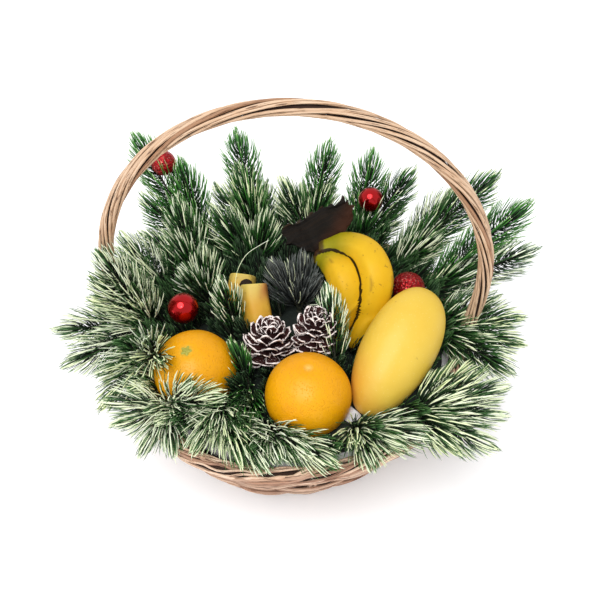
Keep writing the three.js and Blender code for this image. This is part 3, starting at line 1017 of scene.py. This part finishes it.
def mango():
    """Broad at its stem end, slimmer at its tip, a little flat, with a low belly."""
    profile = []
    for reach, rise in half_circle(60):
        girth = MANGO_RADIUS * reach ** 0.92 * (1 + MANGO_SWELL * rise)
        profile.append((girth, 0.5 * MANGO_LENGTH * rise))
    body = turned(profile, 72)
    bmesh.ops.scale(body, vec=(1, MANGO_FLATNESS, 1), verts=body.verts)
    reshape(body, crumple, 60, 1.2)
    stem = np.linalg.norm(spots_of(body) - [0, 0, 0.497 * MANGO_LENGTH], axis=1)
    stand(body, MANGO_AXIS, MANGO_PLACE)
    bunch = Bunch()

    def marks(points):
        blush = np.clip((78 - points[:, 0] - 0.25 * points[:, 1]) / 50, 0, 1)
        scar = np.clip(1.6 - stem / 2.4, 0, 1)
        return np.stack([blush, scar, scar], axis=1)

    bunch.add_bmesh(body, marks)
    add_piece("mango_body", bunch, [mango_skin], "mango_skin", "mango")


def banana(bunch, points, radius, profile, neighbour=None):
    """A curved finger with five soft edges. profile has pairs of shares of radius and length."""
    path = smooth_path(points, 80)
    length = distance_along(path)[-1]
    finger = turned([(radius * reach, length * along) for reach, along in profile], 40)
    reshape(finger, lobed, 5, 0.035, 0.012)
    local = spots_of(finger)
    reshape(finger, bent_along(path, unit(np.array([0.3, 0.2, 1.0]))))

    def marks(spots):
        ridge = np.clip(np.cos(5 * np.arctan2(local[:, 1], local[:, 0])) * 4 - 3, 0, 1)
        # Where the other finger comes close, the skin is marked for painted shade in the crease.
        crease = np.zeros(len(spots))
        if neighbour is not None:
            middle, girths = neighbour
            between = (np.linalg.norm(spots[:, None] - middle[None], axis=2) - girths).min(axis=1)
            crease = np.clip(1 - between / CREASE_WIDTH, 0, 1)
        return np.stack([local[:, 2] / length, ridge, crease], axis=1)

    bunch.add_bmesh(finger, marks)


def whole_banana():
    """The outline of a banana from its slim neck to its blunt tip."""
    rings = 44
    profile = [(0, 0)]
    for ring in range(rings + 1):
        along = ring / rings
        body = math.sin(math.pi * (0.1 + 0.86 * along)) ** 0.45
        blend = min(1, along / 0.14) ** 1.4
        slim = BANANA_NECK * (1 - blend) + body * blend
        profile.append((BANANA_TIP if along > 0.965 else slim, along))
    return [*profile, (0, 1)]


def cut_banana():
    """The outline of a banana with its top cut off square."""
    profile = [(0, 0), (0.84, 0), (0.9, 0.01), (0.93, 0.03)]
    for ring in range(1, 21):
        along = ring / 20
        profile.append((0.94 + 0.06 * math.sin(math.pi * along), 0.03 + 0.9 * along))
    return [*profile, (0.7, 0.98), (0, 1)]


def banana_stalk(bunch):
    """The dried stalk at the head of the hand, flat, fibrous and torn along its top edge."""
    outline = [
        (-30, 8), (-24, 13), (-20, 11), (-13, 17), (-9, 16), (-2, 24), (2, 23), (9, 31),
        (13, 28), (18, 33), (22, 30), (26, 33), (30, 43), (32, 33), (36, 37), (37, 31),
        (43, 32), (39, 25), (42, 22), (37, 15), (34, 9), (27, 0), (17, -11), (6, -17),
        (-8, -14), (-20, -9), (-27, -10), (-26, -2), (-30, 0),
    ]
    bm = bmesh.new()
    face = bm.faces.new([bm.verts.new((x, y, -2)) for x, y in outline])
    thick = bmesh.ops.extrude_face_region(bm, geom=[face])
    raised = [item for item in thick["geom"] if isinstance(item, bmesh.types.BMVert)]
    bmesh.ops.translate(bm, vec=(0, 0, STALK_DEPTH), verts=raised)
    bmesh.ops.recalc_face_normals(bm, faces=bm.faces)
    bmesh.ops.bevel(
        bm, geom=bm.edges[:], offset=0.9, offset_type="OFFSET", affect="EDGES", segments=2,
        profile=0.5, material=-1,
    )
    bmesh.ops.triangulate(bm, faces=bm.faces)
    bmesh.ops.subdivide_edges(bm, edges=bm.edges[:], cuts=5, use_grid_fill=True)
    bmesh.ops.recalc_face_normals(bm, faces=bm.faces)
    grain = math.radians(STALK_GRAIN)

    def torn(spots):
        along = spots[:, 0] * math.cos(grain) + spots[:, 1] * math.sin(grain)
        aside = spots[:, 1] * math.cos(grain) - spots[:, 0] * math.sin(grain)
        fibre = np.array([noise.noise(Vector((0.03 * a, 0.4 * b, 0))) for a, b in zip(along, aside)])
        raised = 3.4 * fibre * np.sign(spots[:, 2] - 4)
        lifted = spots + np.stack([0 * fibre, 0.8 * fibre, raised], axis=1)
        return crumple(crumple(lifted, 14, 3.0), 4, 0.8)

    flat = spots_of(bm)
    reshape(bm, torn)
    tilt = Matrix.Rotation(math.radians(STALK_TILT), 4, "X")
    bmesh.ops.transform(bm, matrix=Matrix.Translation(STALK_PLACE) @ tilt, verts=bm.verts)
    edge = np.clip((flat[:, 1] - 0.55 * flat[:, 0] - 19) / 6, 0, 1)
    wrap = np.clip((flat[:, 0] - 0.6 * flat[:, 1] - 8) / 14, 0, 1)
    lengthwise = (flat[:, 1] * math.cos(grain) - flat[:, 0] * math.sin(grain)) / 40 + 0.5
    bunch.add_bmesh(bm, np.stack([edge, wrap, lengthwise], axis=1), 1)


def left_banana(name, points, stub=None):
    """One finger with a cut top, and what is left of its stem."""
    finger = Bunch()
    banana(finger, points, SMALL_BANANA_RADIUS, cut_banana())
    if stub is not None:
        dried = turned([(0, 0), (6.0, 0.4), (6.6, 2.0), (5.6, 3.6), (3.2, 4.8), (0, 5.2)], 20)
        reshape(dried, crumple, 3, 1.0)
        finger.add_bmesh(stand(dried, (-0.2, 0.2, 1), stub), (0, 0.2, 0.5), 1)
    add_piece(f"{name}_skin", finger, [pale_banana, dried_stalk], "banana_skin", name)


def bananas():
    hand = Bunch()
    profile = whole_banana()
    reaches, places = np.array(profile[1:-1]).T
    girths = BANANA_RADIUS * np.interp(np.linspace(0, 1, 60), places, reaches)
    outer = (smooth_path(OUTER_BANANA, 60), girths)
    inner = (smooth_path(INNER_BANANA, 60), girths)
    banana(hand, OUTER_BANANA, BANANA_RADIUS, profile, inner)
    banana(hand, INNER_BANANA, BANANA_RADIUS - 1, profile, outer)
    banana_stalk(hand)
    add_piece("banana_pair", hand, [banana_skin, dried_stalk], "banana_skin", "banana_hand")
    left_banana("banana_left_front", LEFT_FRONT_BANANA, LEFT_STUB)
    left_banana("banana_left_back", LEFT_BACK_BANANA)


# Cones and baubles


def cone_scale():
    """One scale of unit length: narrow at its root, broad and rounded at its drooping edge."""
    bm = bmesh.new()
    bmesh.ops.create_grid(bm, x_segments=8, y_segments=8, size=0.5)
    flat = spots_of(bm)
    lip = (flat[:, 1] > 0.48) | ((np.abs(flat[:, 0]) > 0.48) & (flat[:, 1] > -0.05))

    def leaf(spots):
        across = 2 * spots[:, 0]
        along = spots[:, 1] + 0.5
        width = 0.14 + 0.36 * np.sin(np.clip(along, 0, 1) * 0.6 * math.pi) ** 1.6
        rounded = along * (1 - 0.24 * across ** 2 * along ** 3)
        lift = 0.12 * across ** 2 * along + 0.16 * along - 0.2 * along ** 3
        return np.stack([across * width, rounded, lift], axis=1)

    reshape(bm, leaf)
    shaped = spots_of(bm)
    bmesh.ops.solidify(bm, geom=bm.faces[:], thickness=0.035)
    shape = Shape(bm)
    nearest = np.linalg.norm(shape.points[:, None] - shaped[None], axis=2).argmin(axis=1)
    return shape, lip[nearest].astype(float)


def pine_cone(name, radius, height, axis, place):
    """Open scales spiral round a dark core, spread wide below and closing at the top."""
    bunch = Bunch()
    upright = unit(np.array(axis, float))
    core = turned([(0, 0), (0.3 * radius, 0.05 * height), (0.32 * radius, 0.4 * height),
                   (0.2 * radius, 0.8 * height), (0, 0.98 * height)], 16)
    stand(core, axis, np.array(place) - 0.45 * height * upright)
    bunch.add_bmesh(core, (0, 0.2, 0))
    across = unit(np.cross(upright, (0.3, 1, 0.1)))
    other = np.cross(upright, across)
    share = (np.arange(CONE_SCALES) + 0.5) / CONE_SCALES
    bearing = GOLDEN_TURN * np.arange(CONE_SCALES)
    outward = np.cos(bearing)[:, None] * across + np.sin(bearing)[:, None] * other
    steep = LOWEST_SCALE_TURN + SCALE_TURN * share ** 1.3
    steep = np.radians(steep + SCALE_TURN_SPREAD * (chance.random(CONE_SCALES) - 0.5))
    length = radius * np.sin(math.pi * (0.32 + 0.56 * share)) ** 0.8
    length = np.maximum(length, 0.4 * radius) * (0.9 + 0.16 * chance.random(CONE_SCALES))
    width = 0.18 * radius + 0.38 * length
    ahead = np.cos(steep)[:, None] * outward + np.sin(steep)[:, None] * upright
    sideways = np.cross(upright, outward)
    normal = np.cross(sideways, ahead)
    root = np.array(place) + upright * ((0.86 * share - 0.42) * height)[:, None]
    scale, lip = pattern_scale
    local = scale.points[None]
    points = (
        root[:, None]
        + local[..., 0:1] * (width[:, None] * sideways)[:, None]
        + local[..., 1:2] * (length[:, None] * ahead)[:, None]
        + local[..., 2:3] * (length[:, None] * normal)[:, None]
    )
    points += SCALE_RAGGEDNESS * chance.standard_normal(points.shape) * lip[None, :, None]
    tints = np.stack(np.broadcast_arrays(
        lip[None], chance.random(CONE_SCALES)[:, None], scale.points[None, :, 1]), axis=2)
    bunch.add(scale, points, tints)
    add_piece(f"{name}_scales", bunch, [painted_cone], "cone_scales", name)


def bauble(name, radius, place, finish, slot):
    """A ball with a crimped cap."""
    cap_radius = 4
    cap_height = 5
    bunch = Bunch()
    direction = (0, 0.5, -1)
    ball = turned([(radius * reach, radius * rise) for reach, rise in half_circle(40)], 56)
    bunch.add_bmesh(stand(ball, direction, place), (0, 0, 0))
    base = math.sqrt(radius * radius - cap_radius * cap_radius) - 0.6
    outline = [(0, 0), (1, 0), (1.06, 0.1), (0.96, 0.18), (0.94, 0.75), (0.7, 1), (0, 1)]
    cap = turned([(cap_radius * reach, base + cap_height * rise) for reach, rise in outline], 32)
    reshape(cap, lobed, 16, 0.05)
    bunch.add_bmesh(stand(cap, direction, place), (0, 0, 0), 1)
    add_piece(f"{name}_ball", bunch, [finish, bauble_cap], slot, name)


# Pine


def needle_pattern():
    """One needle of unit length and radius, with a blunt tip."""
    bm = bmesh.new()
    bmesh.ops.create_cone(
        bm, cap_ends=True, cap_tris=False, segments=3, radius1=NEEDLE_ROOT_GIRTH, radius2=0.0001,
        depth=1.0,
    )
    bmesh.ops.translate(bm, vec=(0, 0, 0.5), verts=bm.verts)
    bmesh.ops.remove_doubles(bm, verts=bm.verts, dist=0.001)
    for share in NEEDLE_GIRTHS:
        everything = bm.verts[:] + bm.edges[:] + bm.faces[:]
        bmesh.ops.bisect_plane(bm, geom=everything, plane_co=(0, 0, share), plane_no=(0, 0, 1))
    for vertex in bm.verts:
        reach = math.hypot(vertex.co.x, vertex.co.y)
        wanted = NEEDLE_GIRTHS.get(round(vertex.co.z, 2))
        if wanted and reach > 0:
            vertex.co.x *= wanted / reach
            vertex.co.y *= wanted / reach
    bmesh.ops.recalc_face_normals(bm, faces=bm.faces)
    return Shape(bm)


def kept_clear(points):
    """Points moved out of the fruit, cones, baubles and handle, and how far each moved."""
    moved = points.copy()
    for centre, radius in solid_balls:
        offset = moved - centre
        distance = np.linalg.norm(offset, axis=-1, keepdims=True)
        inside = distance < radius
        moved = np.where(inside, centre + offset * radius / np.maximum(distance, 0.01), moved)
    return moved, np.linalg.norm(moved - points, axis=-1)


def add_needles(bunch, path, frost, start=0.14, length=NEEDLE_LENGTH, crowd=1.0):
    """Needles spiral round a twig, leaning ahead, more so towards its tip.

    Every third needle of a frosted spray and a few more have a full coat, the others a light one that
    gives them the painted shaded green.
    """
    run = distance_along(path)[-1]
    spacing = NEEDLE_SPACING / crowd
    count = int(run * (1 - start) / spacing)
    at = run * start + spacing * np.arange(count)
    ahead_all, side_all = frames_along(path, steady_reference(path))[:2]
    ahead = unit(read_along(ahead_all, path, at))
    side = unit(read_along(side_all, path, at))
    other = np.cross(ahead, side)
    to_tip = np.clip((run - at) / TIP_STRETCH, 0, 1)
    bearing = GOLDEN_TURN * np.arange(count) + 0.3 * chance.random(count)
    bearing -= NEEDLE_FLATTENING * (1 - facing(path)) * np.sin(2 * bearing)
    lean = NEEDLE_TIP_ANGLE + (NEEDLE_ANGLE - NEEDLE_TIP_ANGLE) * to_tip ** 0.7
    lean = np.radians(lean + LEAN_SPREAD * chance.standard_normal(count))[:, None]
    outward = np.cos(bearing)[:, None] * side + np.sin(bearing)[:, None] * other
    way = unit(np.cos(lean) * ahead + np.sin(lean) * outward)
    forward = unit(ahead - np.sum(ahead * way, axis=1, keepdims=True) * way)
    size = length * (TIP_NEEDLE_SHARE + (1 - TIP_NEEDLE_SHARE) * to_tip)
    size *= 0.88 + 0.2 * chance.random(count)
    bend = NEEDLE_BEND * (0.7 + 0.6 * chance.random(count))
    local = pattern_needle.points
    share = local[:, 2][None, :, None]
    root = read_along(path, path, at)[:, None]
    middle = (
        root
        + way[:, None] * size[:, None, None] * share
        + forward[:, None] * (size * bend)[:, None, None] * share ** 2
    )
    clear, shifted = kept_clear(middle)
    keep = (shifted[:, 0] < 0.01) & (shifted.max(axis=1) < MOST_BENT)
    keep &= clear[:, :, 2].min(axis=1) > LOWEST_NEEDLE
    across = np.cross(way, forward)
    hue = 0.6 * chance.random() + 0.4 * chance.random(count)
    bare = (np.arange(count) % PALE_EVERY > 0) & (chance.random(count) > EXTRA_PALE_SHARE)
    # Needles with the light coat take the painted shaded green.
    coat = np.where(bare & (frost > GREEN_COAT), BARE_COAT, frost)
    if frost == 0:
        coat = np.where(chance.random(count) < STRAY_SHARE, STRAY_COAT, 0)
    thick = NEEDLE_WIDTH * (0.85 + 0.3 * chance.random(count)) + FLOCK_WIDTH * ~bare
    thick = thick[:, None, None]
    points = clear + thick * (
        local[None, :, 0:1] * across[:, None] + local[None, :, 1:2] * forward[:, None]
    )
    tints = np.stack(np.broadcast_arrays(local[None, :, 2], hue[:, None], coat[:, None]), axis=2)
    bunch.add(pattern_needle, points[keep], tints[keep])


def facing(path):
    """How nearly a path points at the viewer, from 0 to 1."""
    return abs(np.dot(unit(path[-1] - path[0]), FROND_FACE))


def steady_reference(path):
    """A direction that a path never runs along: the way a frond's flat side faces, if it can."""
    return FROND_FACE if facing(path) < 0.85 else FROND_UP


def spray_path(root, tip, cut=SPRAY_CUT):
    """The bent middle line of a spray. Its last needles reach the tip, so the twig ends before it."""
    length = np.linalg.norm(tip - root)
    middle = (root + tip) / 2 + np.array([0, 0, SPRAY_ARCH * length])
    at = np.linspace(0, 1, 24)[:, None]
    path = (1 - at) ** 2 * root + 2 * at * (1 - at) * middle + at ** 2 * tip
    run = distance_along(path)
    return steady(read_along(path, path, np.linspace(0, run[-1] - cut, 24)), 24)


def add_spray(bunch, root, tip, frost, **look):
    """A twig that thins towards its tip, with its needles."""
    path = spray_path(root, tip)
    across = steady_reference(path)
    lay_rod(bunch, pattern_twig, path, 1.25 * TWIG_RADIUS, across, chance.random(), 1, thinning=0.56)
    add_needles(bunch, path, frost, **look)


def add_sprig(bunch, root, tip, frost, length, crowd):
    """A short side spray of the bed."""
    path = spray_path(root, tip, SPRIG_CUT)
    lay_rod(bunch, pattern_twig, path, TWIG_RADIUS, steady_reference(path), 0.4, 1)
    add_needles(bunch, path, frost, start=0.1, length=length, crowd=crowd)


def pick(name, frost, root, tips, length=NEEDLE_LENGTH, wire=()):
    """Sprays that spread from one stem, which is pushed down into the filling."""
    bunch = Bunch()
    if wire:
        lay_rod(bunch, pattern_twig, smooth_path(wire, 40), WIRE_GIRTH, (0, 1, 0), 1.0)
    foot = around(*root)
    stem = np.linspace(foot - [0, 0, STEM_DEPTH], foot, 6)
    lay_rod(bunch, pattern_twig, stem, STEM_GIRTH, (1, 0, 0), 0.5, 1)
    for bearing, radius, height, *own_frost in tips:
        tip = around(bearing, radius, height)
        add_spray(bunch, foot, tip, own_frost[0] if own_frost else frost, length=length)
    add_piece(f"{name}_sprays", bunch, [frosted_needle, wrapped_twig], "frosted_pine", name)


# Each pick has a share of frost, then the bearing, radius and height of its root and of its tips.
# A tip with a fourth value has a share of frost of its own. Last come its needles' length and a wire.
PICKS = [
    ("pine_back_left", 0.2, (138, 135, 134),
     [(138, 242, 245, GREEN_COAT), (132, 196, 226, GREEN_COAT), (134, 205, 180), (145, 208, 196)]),
    ("pine_back_left_low", 0.32, (149, 128, 134),
     [(140, 172, 200), (150, 164, 176), (151, 196, 165)]),
    ("pine_back", 0.3, (112, 132, 136),
     [(111, 214, 230, GREEN_COAT), (113, 184, 205, 0.36), (120, 196, 176), (103, 188, 172)]),
    ("pine_back_inner", 0.28, (118, 100, 130), [(130, 149, 190), (108, 118, 186)]),
    ("pine_back_middle", 0.3, (86, 132, 136),
     [(82, 200, 220, GREEN_COAT), (98, 165, 192, 0.36), (80, 168, 188, 0.36), (90, 190, 168)]),
    ("pine_back_right", 0.26, (62, 132, 136),
     [(68, 205, 215, GREEN_COAT), (53, 197, 215, 0.2), (70, 192, 172), (54, 188, 170)]),
    ("pine_right_back", 0.46, (38, 130, 134),
     [(40, 212, 205), (32, 237, 235, 0.2), (31, 172, 185), (38, 196, 165)]),
    ("pine_far_right", 0.4, (18, 138, 134),
     [(24, 258, 215, GREEN_COAT), (17, 255, 180), (22, 200, 158)]),
    ("pine_right", 0.32, (0, 138, 132),
     [(6, 202, 160), (2, 226, 145), (354, 223, 140), (343, 217, 144)]),
    ("pine_right_front", 0.46, (317, 152, 127),
     [(337, 215, 145), (324, 228, 122), (332, 222, 131), (337, 192, 156), (317, 208, 126)]),
    ("pine_front_right", 0.54, (297, 136, 127),
     [(291, 172, 157), (294, 189, 141), (304, 182, 140), (313, 186, 132)]),
    ("pine_front", 0.66, (262, 125, 125), [(284, 177, 139), (269, 172, 145), (277, 168, 148)]),
    ("pine_front_left", 0.58, (238, 120, 127),
     [(244, 179, 138), (258, 176, 137), (247, 163, 154), (265, 175, 134)]),
    ("pine_left_low", 0.7, (224, 156, 127),
     [(230, 200, 119), (219, 201, 122), (212, 200, 129), (237, 184, 122),
      (245, 138, 167), (236, 149, 178)]),
    ("pine_left_front", 0.6, (198, 146, 130),
     [(212, 204, 126), (222, 151, 182), (205, 198, 142), (208, 151, 178)]),
    ("pine_left", 0.56, (184, 140, 132), [(187, 236, 141), (197, 227, 132), (180, 205, 155)]),
    ("pine_by_handle", 0.54, (184, 142, 132), [(187, 180, 238), (189, 188, 212), (183, 166, 212)]),
    ("pine_left_back", 0.5, (164, 138, 134), [(166, 210, 170), (158, 202, 178), (172, 190, 148)]),
    ("pine_left_inner", 0.36, (160, 102, 130), [(150, 112, 182), (168, 118, 178)]),
    ("pine_by_left_banana", 0.34, (193, 58, 130), [(182, 73, 195)], 27, LOOSE_WIRE),
    ("pine_over_banana", 0.38, (304, 78, 134), [(337, 34, 204)], 25),
    ("pine_middle", 0.0, (82, 24, 130), [(125, 40, 186), (84, 40, 190), (40, 30, 178)]),
    ("pine_between_oranges", 0.14, (243, 87, 128), [(256, 150, 146), (224, 81, 168)], 25),
]


def bed_height(bearing, radius):
    """The top of the bed: it rises to a ring near the border, higher at the back."""
    return np.interp(radius, *zip(*BED_HEIGHTS)) + bed_tilt(bearing, radius)


def bed_tilt(bearing, radius):
    return BED_TILT * np.sin(bearing) * radius / BED_RADIUS


def pine_bed():
    """The bed: a mass painted dark as shaded pine, with short sprays in painted shaded green all over
    it.
    """
    bunch = Bunch()
    profile = [(0, BED_FOOT), (139, BED_FOOT), (150, 112)]
    for radius in (152, 149, 138, 118, 98, 80, 60, 40, 20, 0):
        profile.append((radius, bed_height(0, radius)))
    body = turned(profile, 90)

    def uneven(spots):
        bearing = np.arctan2(spots[:, 1], spots[:, 0])
        lift = bed_tilt(bearing, np.hypot(spots[:, 0], spots[:, 1]))
        lift = np.where(spots[:, 2] > BED_FOOT + 1, lift, 0)
        return crumple(spots + np.outer(lift, (0, 0, 1)), 12, 2.5)

    reshape(body, uneven)
    bunch.add_bmesh(body, (0, 0, 0), 2)
    for sprig in range(SPRIG_COUNT):
        bearing = GOLDEN_TURN * sprig
        share = math.sqrt((sprig + 0.5) / SPRIG_COUNT)
        radius = SPRIG_START + SPRIG_SPREAD * share
        root = around(math.degrees(bearing), radius, bed_height(bearing, radius) - 3)
        spread = bearing + 1.3 * (chance.random() - 0.5)
        lean = 10 + 26 * chance.random() * share
        height = 20 + 18 * chance.random()
        tip = root + np.array([lean * math.cos(spread), lean * math.sin(spread), height])
        if kept_clear(root[None])[1][0] == 0:
            # Their little frost gives these sprigs the painted shaded green.
            add_sprig(bunch, root, tip, 0.02 + 0.03 * share ** 3, SPRIG_NEEDLE, SPRIG_CROWD)
    for bearings, frost, rise, crowd in FRINGES:
        for bearing in bearings:
            low = bed_height(math.radians(bearing), 147) - 4
            root = around(bearing, FRINGE_ROOT_RADIUS, low)
            tip_bearing = bearing + 10 * (chance.random() - 0.5)
            tip = around(tip_bearing, FRINGE_TIP_RADIUS, low + rise)
            add_sprig(bunch, root, tip, frost, FRINGE_NEEDLE, crowd)
    finishes = [frosted_needle, wrapped_twig, shaded_bed]
    add_piece("matted_bed", bunch, finishes, "pine_bed_green", "pine_bed")


def paper_filling():
    """Crumpled white tissue fills the basket and shows at the border."""
    bunch = Bunch()
    clear = WALL_THICKNESS + 2.4
    profile = [(0, PAPER_FOOT)]
    for height in (PAPER_FOOT, 30, 50, 70, 90, 108):
        profile.append((min(wall_radius(height) - clear, PAPER_RADIUS), height))
    profile += [(PAPER_RADIUS, 110), (155, 113), (149, 115), (142, 115), (134, 115), (125, 114)]
    body = turned([*profile, (90, 112), (0, 112)], 160)

    def creased(spots):
        lift = np.zeros(len(spots))
        for bearing, radius, rise in PAPER_PEAKS:
            away = np.linalg.norm(spots - around(bearing, radius, PAPER_PEAK_HEIGHT), axis=1)
            lift += rise * np.exp(-(away / PAPER_PEAK_WIDTH) ** 2)
        return crumple(crumple(spots + np.outer(lift, (0, 0, 1)), 16, 2.2), 6, 1.2)

    reshape(body, creased)
    bunch.add_bmesh(body, (0, 0, 0))
    add_piece("tissue_filling", bunch, [tissue], "tissue_paper", "paper_filling")


# Solid balls that needles keep clear of: fruit, cones, baubles and handle


def balls_along(points, count, radius, skipped=0):
    """Equal balls on a smooth curve through the points, after the first few of them."""
    return [(centre, radius) for centre in smooth_path(points, count)[skipped:]]


def solid_ball_list():
    balls = [
        (np.array(FRONT_ORANGE), ORANGE_RADIUS + NEEDLE_CLEARANCE),
        (np.array(LEFT_ORANGE), LEFT_ORANGE_RADIUS + NEEDLE_CLEARANCE),
    ]
    half = 0.5 * MANGO_LENGTH * unit(np.array(MANGO_AXIS))
    for along in np.linspace(-0.86, 0.86, 17):
        girth = MANGO_RADIUS * (1 - along * along) ** 0.46 * (1 + MANGO_SWELL * along)
        balls.append((np.array(MANGO_PLACE) + along * half, girth * 0.97 + NEEDLE_CLEARANCE))
    balls += balls_along(OUTER_BANANA[1:-1], 14, BANANA_RADIUS + NEEDLE_CLEARANCE)
    balls += balls_along(INNER_BANANA[1:-1], 11, BANANA_RADIUS)
    for points in (LEFT_FRONT_BANANA, LEFT_BACK_BANANA):
        balls += balls_along(points, 8, SMALL_BANANA_RADIUS + FINGER_CLEARANCE, 1)
    balls += [(np.array(place), radius) for place, radius in CONE_BALLS]
    for name, radius, place, *look in BAUBLES:
        balls.append((np.array(place), radius + NEEDLE_CLEARANCE))
    for centre in steady(handle_path(), 150)[8:-8]:
        balls.append((centre, HANDLE_TUBE + HANDLE_CLEARANCE))
    return balls


# Scene


def distant_light(name, strength, softness, source):
    """A light from far away, whose disc is softness degrees wide."""
    lamp = bpy.data.lights.new(name, "SUN")
    lamp.angle = math.radians(softness)
    lamp.energy = strength
    light = bpy.data.objects.new(name, lamp)
    light.rotation_mode = "QUATERNION"
    light.rotation_quaternion = (-Vector(source)).to_track_quat("-Z", "Y")
    bpy.context.scene.collection.objects.link(light)


def studio():
    """A plain pale floor, a white surround and soft lights from above the camera."""
    bm = bmesh.new()
    bmesh.ops.create_circle(bm, cap_ends=True, segments=64, radius=6.0)
    mesh = bpy.data.meshes.new("studio_floor")
    bm.to_mesh(mesh)
    bm.free()
    floor = bpy.data.objects.new("studio_floor", mesh)
    bpy.context.scene.collection.objects.link(floor)
    finish = Finish("studio_paper")
    finish.surface(
        Base_Color=paint(247, 247, 249, 1.0), Roughness=0.9,
        Emission_Color=(1.0, 1.0, 1.0, 1.0), Emission_Strength=FLOOR_GLOW,
    )
    mesh.materials.append(finish.material)
    world = bpy.data.worlds.new("studio")
    world.use_nodes = True
    background = world.node_tree.nodes["Background"]
    background.inputs["Color"].default_value = (1.0, 1.0, 1.0, 1.0)
    background.inputs["Strength"].default_value = WORLD_LIGHT
    bpy.context.scene.world = world
    distant_light("key", KEY_LIGHT, KEY_SOFTNESS, KEY_FROM)
    distant_light("sparkle", SPARKLE_LIGHT, SPARKLE_SOFTNESS, SPARKLE_FROM)
    bpy.context.scene.view_settings.view_transform = "Standard"


def camera():
    bearing = math.radians(CAMERA_BEARING)
    elevation = math.radians(CAMERA_ELEVATION)
    back = Vector((
        math.sin(bearing) * math.cos(elevation),
        -math.cos(bearing) * math.cos(elevation),
        math.sin(elevation),
    ))
    lens = bpy.data.cameras.new("camera")
    lens.lens = CAMERA_LENS
    lens.sensor_width = CAMERA_SENSOR
    lens.clip_start = 0.02
    lens.clip_end = 60
    eye = bpy.data.objects.new("camera", lens)
    eye.location = (Vector(CAMERA_AIM) + back * CAMERA_DISTANCE) * METRE
    eye.rotation_mode = "QUATERNION"
    eye.rotation_quaternion = (-back).to_track_quat("-Z", "Y")
    bpy.context.scene.collection.objects.link(eye)
    bpy.context.scene.camera = eye


camera()
studio()

wicker = rod_finish("wicker_rods", paint(252, 222, 196), paint(230, 182, 148), paint(152, 96, 68))
handle_rod = rod_finish(
    "handle_rods", paint(248, 216, 184), paint(222, 178, 138), paint(164, 112, 74)
)
gap_shade_core = mottled_finish("gap_shade_core", 6, 3.0, paint(34, 18, 10), paint(70, 40, 24), 0.9, 0.6)
frosted_needle = needle_finish()
wrapped_twig = twig_finish()
# The bed's body is painted shade, a dark mass in place of shadowed pine.
shaded_bed = mottled_finish("shaded_pine_bed", 9, 4.0, paint(8, 14, 12), paint(26, 42, 32), 0.9, 3.0)
orange_peel = orange_finish()
orange_star = mottled_finish(
    "orange_calyx", 2, 3.0, paint(146, 146, 34), paint(212, 202, 82), 0.6, 0.4
)
mango_skin = mango_finish()
banana_skin = banana_finish()
pale_banana = pale_banana_finish()
dried_stalk = stalk_finish()
painted_cone = cone_finish()
bauble_gloss = gloss_finish()
bauble_glitter = glitter_finish()
bauble_cap = cap_finish()
tissue = mottled_finish(
    "tissue_paper", 12, 5.0, paint(226, 224, 228), paint(252, 250, 248), 0.75, 2.2, grain=0.6
)

# Each bauble has a name, a radius, a place, a finish and a slot
BAUBLES = [
    ("bauble_back_left", 13.5, (-149, 143, 226), bauble_glitter, "bauble_glitter"),
    ("bauble_left", 15.5, (-110, -10, 160), bauble_gloss, "bauble_gloss"),
    ("bauble_back_right", 13.5, (75, 138, 190), bauble_gloss, "bauble_gloss"),
    ("bauble_right", 17.5, (114, 34, 156), bauble_glitter, "bauble_glitter"),
]

pattern_needle = needle_pattern()
pattern_twig = RodPattern(rings=14, sides=5)
pattern_scale = cone_scale()
solid_balls = solid_ball_list()

basket_wall()
basket_border()
basket_floor()
handle()
orange("orange_front", ORANGE_RADIUS, (0, 0.02, 1), FRONT_ORANGE, False)
orange("orange_left", LEFT_ORANGE_RADIUS, (-0.12, -0.2, 0.97), LEFT_ORANGE, True)
mango()
bananas()
pine_cone("cone_left", 26.5, 31, (0.05, 0.26, 0.96), LEFT_CONE)
pine_cone("cone_right", 23.5, 36, (0.12, 0.1, 0.98), RIGHT_CONE)
for bauble_look in BAUBLES:
    bauble(*bauble_look)
pine_bed()
paper_filling()
for pick_values in PICKS:
    pick(*pick_values)
